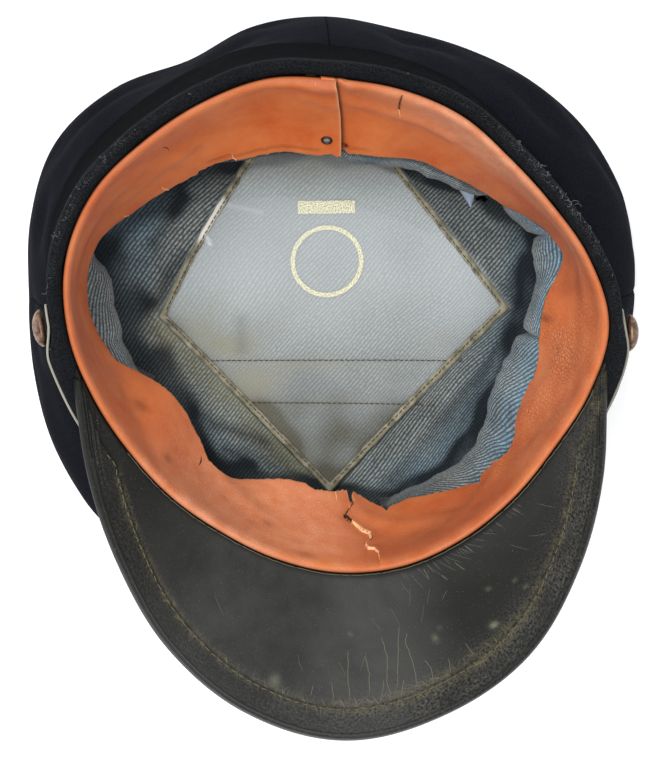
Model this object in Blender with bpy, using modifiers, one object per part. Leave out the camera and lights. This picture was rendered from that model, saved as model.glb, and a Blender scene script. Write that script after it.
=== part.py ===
"""Peaked cap lying upside down on its flattened crown, opening upwards, visor towards -Y.

Every sub-part is an object of its own: crown top, four crown quarters, band, sweatband, lining,
clear sweat shield with its tape, visor with its binding, chin strap and two side buttons.
Lengths are in metres, +Z is up, and the crown's flat outer face lies in the plane z = 0.
"""

import math

import bmesh
import bpy
from mathutils import Matrix, Vector

MM = 0.001

# Overall sizes
HEAD_HALF = 94.0 * MM  # half the opening's width, the unit of the rim column
CROWN_SPREAD = 17.5 * MM  # how far the crown stands out beyond the opening
CROWN_HALF = HEAD_HALF + CROWN_SPREAD  # half the crown's width, the unit of the crown column
CROWN_DEPTH = 38.0 * MM  # from the crown's flat face to its seam with the band
BAND_HEIGHT = 42.0 * MM
CROWN_EDGE_Z = 12.0 * MM  # height of the seam round the crown top
CROWN_ROUND = 19.0 * MM  # how far the crown top's rounded edge reaches in
CROWN_TURN = 1.0 * MM  # height over which its edge turns out into the seam
RIM_Z = CROWN_DEPTH + BAND_HEIGHT

# Thicknesses
WOOL_T = 2.0 * MM
LINING_T = 1.0 * MM
LEATHER_T = 1.4 * MM
VISOR_T = 2.6 * MM
BINDING_T = 0.8 * MM
STRAP_T = 1.2 * MM
SHIELD_T = 0.8 * MM
TAPE_T = 0.7 * MM

# Clearances
GAP = 0.3 * MM  # between pieces that touch
PANEL_GAP = 0.5 * MM  # across a seam between two quarters
PANEL_TURN = 1.5 * MM  # upright strip of a quarter beside the crown top's seam
PANEL_TUCK = 1.2 * MM  # a quarter's upper edge inside the band's outer face
CLOTH_EASE = 0.5 * MM  # either side of the lining
SHIELD_EASE = 0.9 * MM  # under the clear sheet, which stands off the cloth
TAPE_EASE = 0.6 * MM

# Sweatband
SWEAT_WIDTH = 45.0 * MM  # unit of the lean column
SWEAT_RISE = 0.4 * MM  # fold above the band's edge
SWEAT_LAP = 4.0  # degrees by which its ends lap at the back
LAP_RUN = 14.0  # degrees over which the upper end comes back to the band
SWEAT_SEAM = 88.0  # angle of the visible end
SWEAT_TOP_Z = RIM_Z + SWEAT_RISE
LAP_STEP = LEATHER_T + 1.3 * GAP

# Visor
VISOR_SLOPE = math.radians(34.0)
VISOR_REACH = 49.7 * MM  # level reach beyond the sweatband at the centre front
VISOR_EARS = (186.0, 354.0)
ROOM_RUN = 8.0  # degrees over which the band moves out to make room for the visor's root
VISOR_ROOT = 4.5 * MM  # depth of the root inside the band's edge
VISOR_RISE = 0.4 * MM  # height of its bend above the band's edge
BINDING_WIDTH = 11.0 * MM
BINDING_ROUND = 1.2 * MM
BINDING_CLEAR = 5.3 * MM  # least distance of the binding from the bend
BINDING_ENDS = (201.0, 339.0)

# Lining
LINING_HEM = 2.0 * MM  # how far its hem stays under the visor's root
BOWL_DEPTH = 40.0 * MM  # from its floor to where its wall stands upright
BOWL_POWER = 4.0
FOLD_DEPTH = 4.5 * MM  # unit of the folds' depths
LINING_FLOOR = WOOL_T + CLOTH_EASE + 0.5 * LINING_T
LINING_OUT = CLOTH_EASE + 0.5 * LINING_T  # middle of its wall outside the sweatband
LINING_TOP_Z = RIM_Z - VISOR_ROOT - LINING_HEM

# Band
BAND_T = 5.3 * MM  # rolled edge, inner to outer
EDGE_ROLL = 2.4 * MM  # height over which the edge is rounded
BAND_FLARE = 1.0 * MM  # how much wider the band is at the crown seam
BAND_RECESS = LINING_OUT + 0.5 * LINING_T + CLOTH_EASE - GAP  # step that makes room for the lining

# Sweat shield, corners about the head's centre, as shares of its half width
SHIELD_HALF = 60.0 * MM
SHIELD_CORNERS = {
    "left": (-1.025, -0.165),
    "front": (0.027, -1.297),
    "right": (1.157, -0.135),
    "back": (-0.10, 1.40),
}
SHIELD_LIFT = 0.5 * LINING_T + SHIELD_EASE + 0.5 * SHIELD_T  # its middle above the lining's
SHIELD_PROBE = 1.0 * MM  # step over which the lining's slope is taken
TAPE_WIDTH = 2.4 * MM
TAPE_INSET = 1.6 * MM  # tape's outer edge inside the shield's
TAPE_LIFT = SHIELD_LIFT + 0.5 * SHIELD_T + TAPE_EASE + 0.5 * TAPE_T

# Chin strap and buttons
STRAP_WIDTH = 12.0 * MM
STRAP_DROP = 4.5 * MM  # its upper edge under the band's edge
STRAP_ENDS = (175.5, 362.0)
STRAP_Z = RIM_Z - STRAP_DROP - 0.5 * STRAP_WIDTH
BUTTON_R = 6.5 * MM
BUTTON_H = 4.4 * MM
BUTTONS = {"button_left": (180.4, 7.0), "button_right": (356.4, 0.0)}  # place, extra turn

STEPS = 60  # facets round the head
STEP_DEG = 360.0 / STEPS

# One row per 15 degrees, counted from +X through +Y (centre back) to -Y (centre front).
COLUMNS = ("rim", "crown", "lean", "visor")
OUTLINE = (
    # rim share, crown share, lean share of the sweatband's width, visor share of the reach
    (0.997, 1.020, 0.39, 0.00),
    (0.954, 1.024, 0.14, 0.00),
    (0.901, 1.004, 0.28, 0.00),
    (0.881, 0.961, 0.40, 0.00),
    (0.897, 0.915, 0.52, 0.00),
    (0.904, 0.888, 0.62, 0.00),
    (0.916, 0.899, 0.65, 0.00),
    (0.954, 0.899, 0.66, 0.00),
    (0.969, 0.879, 0.62, 0.00),
    (0.990, 0.955, 0.54, 0.00),
    (1.025, 1.004, 0.43, 0.00),
    (1.025, 0.989, 0.24, 0.00),
    (0.986, 0.967, 0.16, 0.00),
    (0.932, 0.990, 0.28, 0.105),
    (0.893, 1.030, 0.41, 0.302),
    (0.879, 1.062, 0.36, 0.519),
    (0.877, 1.067, 0.28, 0.769),
    (0.899, 1.062, 0.41, 0.938),
    (0.926, 1.058, 0.44, 1.000),
    (0.938, 1.055, 0.26, 0.918),
    (0.930, 1.050, 0.19, 0.799),
    (0.922, 1.045, 0.15, 0.577),
    (0.926, 1.036, 0.22, 0.346),
    (0.965, 1.027, 0.31, 0.100),
)

# Soft folds pressed into the lining's wall
FOLDS = (
    # centre angle, half width in degrees, depth share
    (198.0, 9.0, 0.65),
    (221.0, 8.0, 0.90),
    (243.0, 7.0, 0.45),
    (306.0, 7.0, 0.55),
    (327.0, 9.0, 1.00),
    (24.0, 9.0, 0.90),
    (46.0, 7.0, 0.45),
    (140.0, 10.0, 0.55),
)

# Rolled edge of the band
EDGE = (
    # share of the thickness from the inner face, share of the roll's height down from the edge
    (0.00, 0.75),
    (0.13, 0.20),
    (0.38, 0.00),
    (0.68, 0.04),
    (0.91, 0.38),
    (1.00, 1.00),
)

# Button's outline from the middle of its back to the top of its dome
BUTTON_PROFILE = (
    # share of the radius, share of the height
    (0.00, 1.00),
    (0.34, 0.96),
    (0.62, 0.83),
    (0.86, 0.60),
    (1.00, 0.30),
    (0.97, 0.12),
    (0.78, 0.00),
    (0.00, 0.00),
)


def column(name, angle):
    """Value of an outline column at an angle in degrees, smooth and periodic."""
    k = COLUMNS.index(name)
    rows = len(OUTLINE)
    place = (angle % 360.0) * rows / 360.0
    i = int(place)
    t = place - i
    p0, p1, p2, p3 = (OUTLINE[(i + d) % rows][k] for d in (-1, 0, 1, 2))
    return 0.5 * (
        2.0 * p1
        + (p2 - p0) * t
        + (2.0 * p0 - 5.0 * p1 + 4.0 * p2 - p3) * t * t
        + (3.0 * p1 - p0 - 3.0 * p2 + p3) * t * t * t
    )


def smooth(t):
    """Smooth step from 0 to 1."""
    t = min(1.0, max(0.0, t))
    return t * t * (3.0 - 2.0 * t)


def polar(angle, radius, z):
    """Point at an angle in degrees, a radius and a height."""
    a = math.radians(angle)
    return Vector((radius * math.cos(a), radius * math.sin(a), z))


def rim(angle):
    """Radius of the sweatband's outer face, where the leather folds over the edge."""
    return HEAD_HALF * column("rim", angle)


def visor_room(angle):
    """0 behind the ears and 1 where the visor's root stands between sweatband and band."""
    a = angle % 360.0
    if a < 90.0:
        a += 360.0
    before = (a - VISOR_EARS[0]) / ROOM_RUN
    after = (VISOR_EARS[1] - a) / ROOM_RUN
    return min(smooth(before + 0.95), smooth(after + 0.95))


def band_base(angle):
    """Radius of the innermost line of the band's rolled edge."""
    return rim(angle) + GAP + (VISOR_T + GAP) * visor_room(angle)


def band_outer(angle, z):
    """Radius of the band's outer face."""
    drop = (RIM_Z - z) / BAND_HEIGHT
    return band_base(angle) + BAND_T + BAND_FLARE * drop


def crown(angle):
    """Radius of the crown at its seam edge."""
    return CROWN_HALF * column("crown", angle)


def surface(name, across, along, place, flip=False):
    """Open sheet from a grid whose points are moved by place(s, t), both from 0 to 1."""
    bm = bmesh.new()
    bmesh.ops.create_grid(bm, x_segments=across, y_segments=along, size=0.5)
    for v in bm.verts:
        v.co = place(round(v.co.x + 0.5, 6), round(v.co.y + 0.5, 6))
    bmesh.ops.remove_doubles(bm, verts=bm.verts, dist=1e-6)
    if flip:
        bmesh.ops.reverse_faces(bm, faces=bm.faces)
    return store(bm, name)


def loft(name, around, along, place, closed):
    """Solid whose section runs round s from 0 to 1 and whose length runs along t."""
    bm = bmesh.new()
    bmesh.ops.create_grid(bm, x_segments=around, y_segments=along, size=0.5)
    for v in bm.verts:
        v.co = place(round(v.co.x + 0.5, 6), round(v.co.y + 0.5, 6))
    bmesh.ops.remove_doubles(bm, verts=bm.verts, dist=1e-6)
    if not closed:
        ends = [e for e in bm.edges if e.is_boundary]
        bmesh.ops.holes_fill(bm, edges=ends, sides=0)
    bmesh.ops.recalc_face_normals(bm, faces=bm.faces)
    return store(bm, name)


def store(bm, name):
    """Write a bmesh into a new object of the cap's collection."""
    mesh = bpy.data.meshes.new(name)
    bm.to_mesh(mesh)
    bm.free()
    obj = bpy.data.objects.new(name, mesh)
    obj.parent = HEAD
    CAP.objects.link(obj)
    return obj


def thicken(obj, thickness, offset):
    """Give a sheet its real wall."""
    mod = obj.modifiers.new("wall", "SOLIDIFY")
    mod.thickness = thickness
    mod.offset = offset
    mod.use_even_offset = False
    mod.use_rim = True
    return obj


def finish(obj, colour, roughness, metallic=0.0):
    """Give an object a material of its own."""
    mat = bpy.data.materials.new(obj.name)
    mat.use_nodes = True
    shader = mat.node_tree.nodes["Principled BSDF"]
    shader.inputs["Base Color"].default_value = (*colour, 1.0)
    shader.inputs["Roughness"].default_value = roughness
    shader.inputs["Metallic"].default_value = metallic
    mat.diffuse_color = (*colour, 1.0)
    obj.data.materials.append(mat)
    return obj


WOOL = (0.012, 0.013, 0.020)
BAND_WOOL = (0.020, 0.021, 0.026)
LEATHER = (0.56, 0.17, 0.065)
TWILL = (0.19, 0.25, 0.28)
CELLULOID = (0.32, 0.40, 0.43)
TAPE = (0.17, 0.15, 0.10)
PATENT = (0.045, 0.045, 0.042)
STRAP = (0.030, 0.028, 0.026)
BUTTON = (0.17, 0.11, 0.085)


def make_crown_top():
    """Oval panel: flat in the middle, rounded up to the crown's seam."""
    rings = (0.0, 0.34, 0.68, 0.83, 0.90, 0.955, 0.985, 1.0)

    def place(s, t):
        angle = 360.0 * s
        edge = crown(angle)
        flat = edge - CROWN_ROUND
        lip = CROWN_EDGE_Z - CROWN_TURN
        k = round(t * (len(rings) - 1))
        if k <= 2:
            return polar(angle, flat * rings[k] / rings[2], 0.0)
        if k == len(rings) - 1:
            return polar(angle, edge, CROWN_EDGE_Z)
        turn = math.radians(90.0 * (k - 2) / (len(rings) - 4))
        return polar(angle, flat + CROWN_ROUND * math.sin(turn), lip * (1.0 - math.cos(turn)))

    top = surface("crown_top", STEPS, len(rings) - 1, place)
    return finish(thicken(top, WOOL_T, -1.0), WOOL, 0.95)


def make_quarter(name, start, end):
    """Side panel of the crown between two seams, bulging out over the band."""
    half = math.degrees(0.5 * PANEL_GAP / CROWN_HALF)
    steps = round((end - start) / STEP_DEG)
    rows = 6
    low = CROWN_EDGE_Z + PANEL_GAP
    high = CROWN_DEPTH - GAP

    def place(s, t):
        angle = start + (end - start) * s
        if s == 0.0:
            angle += half
        if s == 1.0:
            angle -= half
        seam = band_outer(angle, CROWN_DEPTH) - PANEL_TUCK
        if t == 0.0:
            return polar(angle, crown(angle), low)
        u = (t - 1.0 / rows) / (1.0 - 1.0 / rows)
        bulge = math.cos(0.5 * math.pi * u) ** 0.85
        z = low + PANEL_TURN + (high - low - PANEL_TURN) * u
        return polar(angle, seam + (crown(angle) - seam) * bulge, z)

    panel = surface(name, steps, rows, place)
    return finish(thicken(panel, WOOL_T, -1.0), WOOL, 0.95)


def make_band():
    """Stiff cloth band with a rolled edge at the opening."""
    middle = RIM_Z - 0.5 * BAND_HEIGHT
    section = [(share * BAND_T, RIM_Z - down * EDGE_ROLL) for share, down in EDGE]
    section += [
        (BAND_T + 0.5 * BAND_FLARE, middle),
        (BAND_T + BAND_FLARE, CROWN_DEPTH),
        (BAND_RECESS + BAND_FLARE, CROWN_DEPTH),
        (BAND_RECESS + 0.5 * BAND_FLARE, middle),
        (BAND_RECESS, LINING_TOP_Z + CLOTH_EASE),
        (0.0, LINING_TOP_Z + CLOTH_EASE + BAND_RECESS),
    ]

    def place(s, t):
        out, z = section[round(s * len(section)) % len(section)]
        angle = 360.0 * t
        return polar(angle, band_base(angle) + out, z)

    band = loft("band", len(section), STEPS, place, closed=True)
    return finish(band, BAND_WOOL, 0.95)


def sweat_point(angle, t, inset):
    """Outer face of the sweatband: t runs from the fold to the free edge."""
    lean = column("lean", angle) * SWEAT_WIDTH
    drop = 0.96 * math.sqrt(SWEAT_WIDTH**2 - lean**2)
    return polar(angle, rim(angle) - inset - lean * t**1.35, SWEAT_TOP_Z - drop * t)


def make_sweatband():
    """Leather strip sewn in at the rim, leaning inwards, its ends lapped at the back."""
    start = SWEAT_SEAM
    end = SWEAT_SEAM + 360.0 + SWEAT_LAP
    columns = round((end - start) / STEP_DEG)

    def place(s, t):
        angle = start + (end - start) * s
        inset = LAP_STEP * smooth((start + SWEAT_LAP + LAP_RUN - angle) / LAP_RUN)
        return sweat_point(angle, t, inset)

    strip = surface("sweatband", columns, 5, place, flip=True)
    return finish(thicken(strip, LEATHER_T, -1.0), LEATHER, 0.5)


def lining_point(angle, ratio):
    """Middle of the lining's bowl at a share of its radius; returns the point."""
    ratio = min(ratio, 1.0)
    wall = rim(angle) + LINING_OUT
    z = LINING_FLOOR + BOWL_DEPTH * (1.0 - (1.0 - ratio**BOWL_POWER) ** (1.0 / BOWL_POWER))
    press = 0.0
    for centre, half, depth in FOLDS:
        off = (angle - centre + 180.0) % 360.0 - 180.0
        press += depth * math.exp(-((off / half) ** 2))
    height = (z - LINING_FLOOR) / BOWL_DEPTH
    window = smooth((ratio - 0.74) / 0.16) * smooth((0.68 - height) / 0.35)
    return polar(angle, wall * ratio - FOLD_DEPTH * press * window, z)


def lining_over(x, y):
    """Point of the lining under a plan position near the head's centre."""
    angle = math.degrees(math.atan2(y, x))
    return lining_point(angle, math.hypot(x, y) / (rim(angle) + LINING_OUT))


def make_lining():
    """Twill bag: floor on the crown top, wall up behind the sweatband."""
    turns = (0.0, 22.0, 38.0, 50.0, 60.0, 70.0, 80.0, 90.0)

    def place(s, t):
        angle = 360.0 * s
        k = round(t * len(turns))
        if k == len(turns):
            return polar(angle, rim(angle) + LINING_OUT, LINING_TOP_Z)
        ratio = math.sin(math.radians(turns[k])) ** (2.0 / BOWL_POWER)
        return lining_point(angle, ratio)

    bag = surface("lining", STEPS, len(turns), place)
    return finish(thicken(bag, LINING_T, 0.0), TWILL, 0.9)


def over_lining(x, y, lift):
    """Point lifted off the lining along its inward normal."""
    d = SHIELD_PROBE
    base = lining_over(x, y)
    normal = (lining_over(x + d, y) - lining_over(x - d, y)).cross(
        lining_over(x, y + d) - lining_over(x, y - d)
    )
    return base + normal.normalized() * lift


def shield_plan(u, v):
    """Plan position on the lozenge: u from left to front, v from left to back."""
    left, front, right, back = (
        Vector(SHIELD_CORNERS[k]) * SHIELD_HALF for k in ("left", "front", "right", "back")
    )
    return (left * (1 - u) + front * u) * (1 - v) + (back * (1 - u) + right * u) * v


def make_shield():
    """Clear lozenge over the lining."""

    def place(s, t):
        p = shield_plan(s, t)
        return over_lining(p.x, p.y, SHIELD_LIFT)

    sheet = surface("sweat_shield", 12, 12, place)
    return finish(thicken(sheet, SHIELD_T, 0.0), CELLULOID, 0.15)


def make_tape():
    """Sewn tape on the shield's edge."""
    side_length = math.hypot(*(Vector(SHIELD_CORNERS["left"]) - Vector(SHIELD_CORNERS["front"])))
    unit = side_length * SHIELD_HALF
    section = ((0.0, -0.5), (1.0, -0.5), (1.0, 0.5), (0.0, 0.5))

    def place(s, t):
        across, up = section[round(s * len(section)) % len(section)]
        near = (TAPE_INSET + TAPE_WIDTH * across) / unit
        side = int(t * 4.0) % 4
        k = t * 4.0 - int(t * 4.0)
        run = near + (1.0 - 2.0 * near) * k
        far = 1.0 - near
        u, v = ((run, near), (far, run), (1.0 - run, far), (near, 1.0 - run))[side]
        p = shield_plan(u, v)
        return over_lining(p.x, p.y, TAPE_LIFT + up * TAPE_T)

    tape = loft("shield_tape", len(section), 48, place, closed=True)
    return finish(tape, TAPE, 0.8)


def visor_slant(angle):
    """Length of the visor along its slope, from its bend."""
    level = VISOR_REACH * column("visor", angle) - GAP - 0.5 * VISOR_T
    return level / math.cos(VISOR_SLOPE)


def on_visor(angle, slant, up):
    """Point on the visor: along the slope from its bend, and off its middle."""
    c, s = math.cos(VISOR_SLOPE), math.sin(VISOR_SLOPE)
    r = rim(angle) + GAP + 0.5 * VISOR_T + slant * c - up * s
    return polar(angle, r, RIM_Z + VISOR_RISE + slant * s + up * c)


def make_visor():
    """Visor: a root standing inside the band's edge, then a plain slope."""
    shares = (0.0, 0.08, 0.3, 0.55, 0.8, 1.0)
    columns = round((VISOR_EARS[1] - VISOR_EARS[0]) / STEP_DEG)
    rows = len(shares)

    def place(s, t):
        angle = VISOR_EARS[0] + (VISOR_EARS[1] - VISOR_EARS[0]) * s
        k = round(t * rows)
        if k == 0:
            return polar(angle, rim(angle) + GAP + 0.5 * VISOR_T, RIM_Z - VISOR_ROOT)
        length = max(BINDING_T, visor_slant(angle) - BINDING_T - 2.0 * GAP)
        return on_visor(angle, length * shares[k - 1], 0.0)

    leaf = surface("visor", columns, rows, place)
    return finish(thicken(leaf, VISOR_T, 0.0), PATENT, 0.4)


def make_binding():
    """Patent strip folded over the visor's edge."""
    hold = 0.5 * VISOR_T + GAP
    thick = hold + BINDING_T
    section = (
        # share of the strip's width in from the edge, plain distance in, distance off the middle
        (1.0, 0.0, thick),
        (0.0, BINDING_ROUND, thick),
        (0.0, 0.0, 0.55 * thick),
        (0.0, 0.0, -0.55 * thick),
        (0.0, BINDING_ROUND, -thick),
        (1.0, 0.0, -thick),
        (1.0, 0.0, -hold),
        (0.0, BINDING_T, -hold),
        (0.0, BINDING_T, hold),
        (1.0, 0.0, hold),
    )
    span = BINDING_ENDS[1] - BINDING_ENDS[0]

    def place(s, t):
        share, plain, up = section[round(s * len(section)) % len(section)]
        angle = BINDING_ENDS[0] + span * t
        slant = visor_slant(angle)
        width = min(BINDING_WIDTH, slant - BINDING_CLEAR)
        return on_visor(angle, slant - share * width - plain, up)

    strip = loft("visor_binding", len(section), 30, place, closed=False)
    return finish(strip, PATENT, 0.3)


def make_strap():
    """Thin chin strap round the front of the band, from button to button."""
    first, last = STRAP_ENDS
    tip = math.degrees(0.5 * STRAP_WIDTH / band_outer(first, STRAP_Z))
    shares = (0.0, 0.12, 0.35, 0.65, 1.0)
    angles = [first + tip * k for k in shares]
    inner = math.ceil((first + tip + 1.0) / STEP_DEG)
    while inner * STEP_DEG < last - tip - 1.0:
        angles.append(inner * STEP_DEG)
        inner += 1
    angles += [last - tip * k for k in reversed(shares)]

    def place(s, t):
        angle = angles[round(s * (len(angles) - 1))]
        near_end = min(angle - first, last - angle)
        arc = math.radians(near_end) * band_outer(angle, STRAP_Z)
        half = 0.5 * STRAP_WIDTH
        if arc < half:
            half *= math.sqrt(max(0.12, 1.0 - (1.0 - arc / half) ** 2))
        z = STRAP_Z + half * (2.0 * t - 1.0)
        return polar(angle, band_outer(angle, z) + GAP, z)

    strip = surface("chin_strap", len(angles) - 1, 2, place)
    return finish(thicken(strip, STRAP_T, 1.0), STRAP, 0.3)


def make_button(name, angle, turn):
    """Domed button on the strap's end, facing out from the head."""
    bm = bmesh.new()
    verts = [bm.verts.new((BUTTON_R * r, 0.0, BUTTON_H * h)) for r, h in BUTTON_PROFILE]
    for pair in zip(verts, verts[1:]):
        bm.edges.new(pair)
    button = store(bm, name)
    screw = button.modifiers.new("turn", "SCREW")
    screw.axis = "Z"
    screw.steps = 20
    screw.render_steps = 20
    screw.use_merge_vertices = True
    screw.merge_threshold = 0.00001
    out = band_outer(angle, STRAP_Z) + GAP + STRAP_T + GAP
    out += BUTTON_R * abs(math.sin(math.radians(turn)))
    button.location = polar(angle, out, STRAP_Z)
    button.rotation_euler = (0.0, math.radians(90.0), math.radians(angle + turn))
    return finish(button, BUTTON, 0.45, 0.5)


def stand_at_origin(head):
    """Set the head's centre so that the cap's box stands on the origin by its bottom centre."""
    bpy.context.view_layer.update()
    graph = bpy.context.evaluated_depsgraph_get()
    points = []
    for obj in CAP.objects:
        if obj.type == "MESH":
            seen = obj.evaluated_get(graph)
            points += [seen.matrix_world @ v.co for v in seen.data.vertices]
    low = [min(p[k] for p in points) for k in range(3)]
    high = [max(p[k] for p in points) for k in range(3)]
    head.location = (-0.5 * (low[0] + high[0]), -0.5 * (low[1] + high[1]), -low[2])
    bpy.context.view_layer.update()


for old in list(bpy.data.objects):
    bpy.data.objects.remove(old, do_unlink=True)

CAP = bpy.data.collections.new("peaked_cap")
bpy.context.scene.collection.children.link(CAP)
HEAD = bpy.data.objects.new("head_centre", None)
HEAD.empty_display_size = HEAD_HALF
CAP.objects.link(HEAD)

make_crown_top()
make_quarter("quarter_back_right", 0.0, 90.0)
make_quarter("quarter_back_left", 90.0, 180.0)
make_quarter("quarter_front_left", 180.0, 270.0)
make_quarter("quarter_front_right", 270.0, 360.0)
make_band()
make_sweatband()
make_lining()
make_shield()
make_tape()
make_visor()
make_binding()
make_strap()
for button, (where, extra) in BUTTONS.items():
    make_button(button, where, extra)
stand_at_origin(HEAD)
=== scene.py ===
# %% [markdown]
# # A peaked cap lying upside down
# The camera looks down into an old uniform cap that lies on its flattened crown. Round the opening
# runs a leather sweatband, below it hangs a blue-grey twill lining, and over that is sewn a clear
# lozenge that kept hair oil off the cloth. The visor's underside faces us, at the front.
#
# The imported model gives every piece's place in metres. Each cloth or leather piece is made again
# here as a thin, finely divided sheet that lies where its plain solid lies.

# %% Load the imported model
import math
import random

import bmesh
import bpy
from mathutils import Matrix, Vector, noise


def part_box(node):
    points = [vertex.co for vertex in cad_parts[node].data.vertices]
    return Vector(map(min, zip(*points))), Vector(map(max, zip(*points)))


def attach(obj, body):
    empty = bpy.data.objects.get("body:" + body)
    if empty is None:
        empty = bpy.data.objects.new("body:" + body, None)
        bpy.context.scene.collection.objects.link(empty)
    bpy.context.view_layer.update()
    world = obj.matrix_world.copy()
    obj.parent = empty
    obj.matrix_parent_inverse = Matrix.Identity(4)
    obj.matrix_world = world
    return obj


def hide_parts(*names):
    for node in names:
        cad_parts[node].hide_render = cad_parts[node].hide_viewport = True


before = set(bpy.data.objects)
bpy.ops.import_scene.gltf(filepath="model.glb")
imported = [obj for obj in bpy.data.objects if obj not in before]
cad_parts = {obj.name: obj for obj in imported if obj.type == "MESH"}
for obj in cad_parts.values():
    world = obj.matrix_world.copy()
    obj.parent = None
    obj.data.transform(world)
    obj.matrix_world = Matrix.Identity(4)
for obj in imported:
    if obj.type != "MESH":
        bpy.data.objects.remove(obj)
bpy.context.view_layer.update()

print("nodes:", ", ".join(sorted(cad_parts)))

# %% [markdown]
# ## Sizes
# A cap is laid out round the wearer's head, so its sizes are written about the head's centre. They
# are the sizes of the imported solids: the opening, the crown, and the way the leather and the visor
# lean, in one row for each 15 degrees. A curve through the rows gives every angle in between.

# %% Named sizes
MM = 0.001
RADIAN = 57.3  # degrees, near enough for noise round the cap
HEAD_HALF, CROWN_HALF, SWEAT_WIDTH, VISOR_REACH = 94 * MM, 111.5 * MM, 45 * MM, 49.7 * MM
CROWN_DEPTH, BAND_HEIGHT, CROWN_EDGE_Z, CROWN_ROUND = 38 * MM, 42 * MM, 12 * MM, 19 * MM
RIM_Z = CROWN_DEPTH + BAND_HEIGHT
WOOL_T, LEATHER_T, VISOR_T, GAP = 2 * MM, 1.2 * MM, 2.6 * MM, 0.3 * MM
BAND_T, BAND_FLARE, BAND_RECESS = 5.3 * MM, 1 * MM, 1.7 * MM
VISOR_SLOPE, VISOR_EARS, VISOR_RISE, VISOR_ROOT = math.radians(34), (186, 354), 0.4 * MM, 4.5 * MM
BINDING_WIDTH = 11 * MM
LINING_OUT, LINING_FLOOR, LINING_TOP_Z = 1 * MM, 3 * MM, 73.5 * MM
BOWL_DEPTH, BOWL_POWER = 40 * MM, 4
STRAP_WIDTH, STRAP_Z, STRAP_ENDS = 12 * MM, 69.5 * MM, (175.5, 362)

COLUMNS = ("rim", "crown", "lean", "visor")
OUTLINE = (
    # rim and crown: shares of their half widths; lean: share of the sweatband's width;
    # visor: share of its reach. The first row is at the right side, then on round by the back.
    (0.997, 1.020, 0.39, 0.00), (0.954, 1.024, 0.14, 0.00), (0.901, 1.004, 0.28, 0.00),
    (0.881, 0.961, 0.40, 0.00), (0.897, 0.915, 0.52, 0.00), (0.904, 0.888, 0.62, 0.00),
    (0.916, 0.899, 0.65, 0.00), (0.954, 0.899, 0.66, 0.00), (0.969, 0.879, 0.62, 0.00),
    (0.990, 0.955, 0.54, 0.00), (1.025, 1.004, 0.43, 0.00), (1.025, 0.989, 0.24, 0.00),
    (0.986, 0.967, 0.16, 0.00), (0.932, 0.990, 0.28, 0.105), (0.893, 1.030, 0.41, 0.302),
    (0.879, 1.062, 0.36, 0.519), (0.877, 1.067, 0.28, 0.769), (0.899, 1.062, 0.41, 0.938),
    (0.926, 1.058, 0.44, 1.000), (0.938, 1.055, 0.26, 0.918), (0.930, 1.050, 0.19, 0.799),
    (0.922, 1.045, 0.15, 0.577), (0.926, 1.036, 0.22, 0.346), (0.965, 1.027, 0.31, 0.100),
)


def curve_at(a, b, c, d, t):
    """Value at t, 0 at b and 1 at c, on a smooth curve through four evenly spaced values."""
    return 0.5 * (
        2 * b + (c - a) * t + (2 * a - 5 * b + 4 * c - d) * t**2 + (3 * b - a - 3 * c + d) * t**3
    )


def column(name, angle):
    """A column's value at an angle in degrees, on a smooth closed curve through the rows."""
    k, rows = COLUMNS.index(name), len(OUTLINE)
    place = (angle % 360) * rows / 360
    i = int(place)
    a, b, c, d = (OUTLINE[(i + step) % rows][k] for step in (-1, 0, 1, 2))
    return curve_at(a, b, c, d, place - i)


def ease(t):
    """0 below 0, 1 above 1, and a smooth step between."""
    t = min(1, max(0, t))
    return t * t * (3 - 2 * t)


def hill(distance, half):
    """A soft bump that is 1 in its middle."""
    return math.exp(-((distance / half) ** 2))


def turn_between(a, b):
    """Signed difference of two angles, from -180 to 180 degrees."""
    return (a - b + 180) % 360 - 180


def along(rows, x):
    """Value at x on straight lines between rows of (x, value)."""
    for (x0, y0), (x1, y1) in zip(rows, rows[1:]):
        if x <= x1:
            return y0 + (y1 - y0) * max(0, (x - x0) / (x1 - x0))
    return rows[-1][1]


def polar(angle, radius, z):
    a = math.radians(angle)
    return Vector((radius * math.cos(a), radius * math.sin(a), z))


def waver(point, grain, seed=0):
    """Smooth noise from -1 to 1 whose waves are about as long as grain."""
    return noise.noise(Vector(point) / grain + Vector((seed, 2.7 * seed, 0)))


def rim(angle):
    return HEAD_HALF * column("rim", angle)


def crown(angle):
    return CROWN_HALF * column("crown", angle)


def visor_room(angle):
    """1 where the visor's root stands between the sweatband and the band, 0 behind the ears."""
    a = angle % 360
    a += 360 if a < 90 else 0
    return min(ease((a - VISOR_EARS[0]) / 8 + 0.95), ease((VISOR_EARS[1] - a) / 8 + 0.95))


def band_base(angle):
    return rim(angle) + GAP + (VISOR_T + GAP) * visor_room(angle)


def band_outer(angle, z):
    return band_base(angle) + BAND_T + BAND_FLARE * (RIM_Z - z) / BAND_HEIGHT


ring = [polar(3 * k, band_outer(3 * k, CROWN_DEPTH), 0) for k in range(120)]
low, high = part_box("band")
HEAD = Vector((
    (low.x + high.x - min(p.x for p in ring) - max(p.x for p in ring)) / 2,
    (low.y + high.y - min(p.y for p in ring) - max(p.y for p in ring)) / 2,
    0,
))
print("head centre:", [round(v * 1000, 2) for v in HEAD], "mm")

# %% [markdown]
# ## Helpers for shapes
# Nearly all the pieces are strips or bags of cloth and leather. Each starts as a flat bmesh grid.
# Its cloth coordinates, in metres along and across the real strip, are written into a UV map while
# it is flat, so that weave and grain follow the cloth. A function then lays every point in place.

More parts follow.
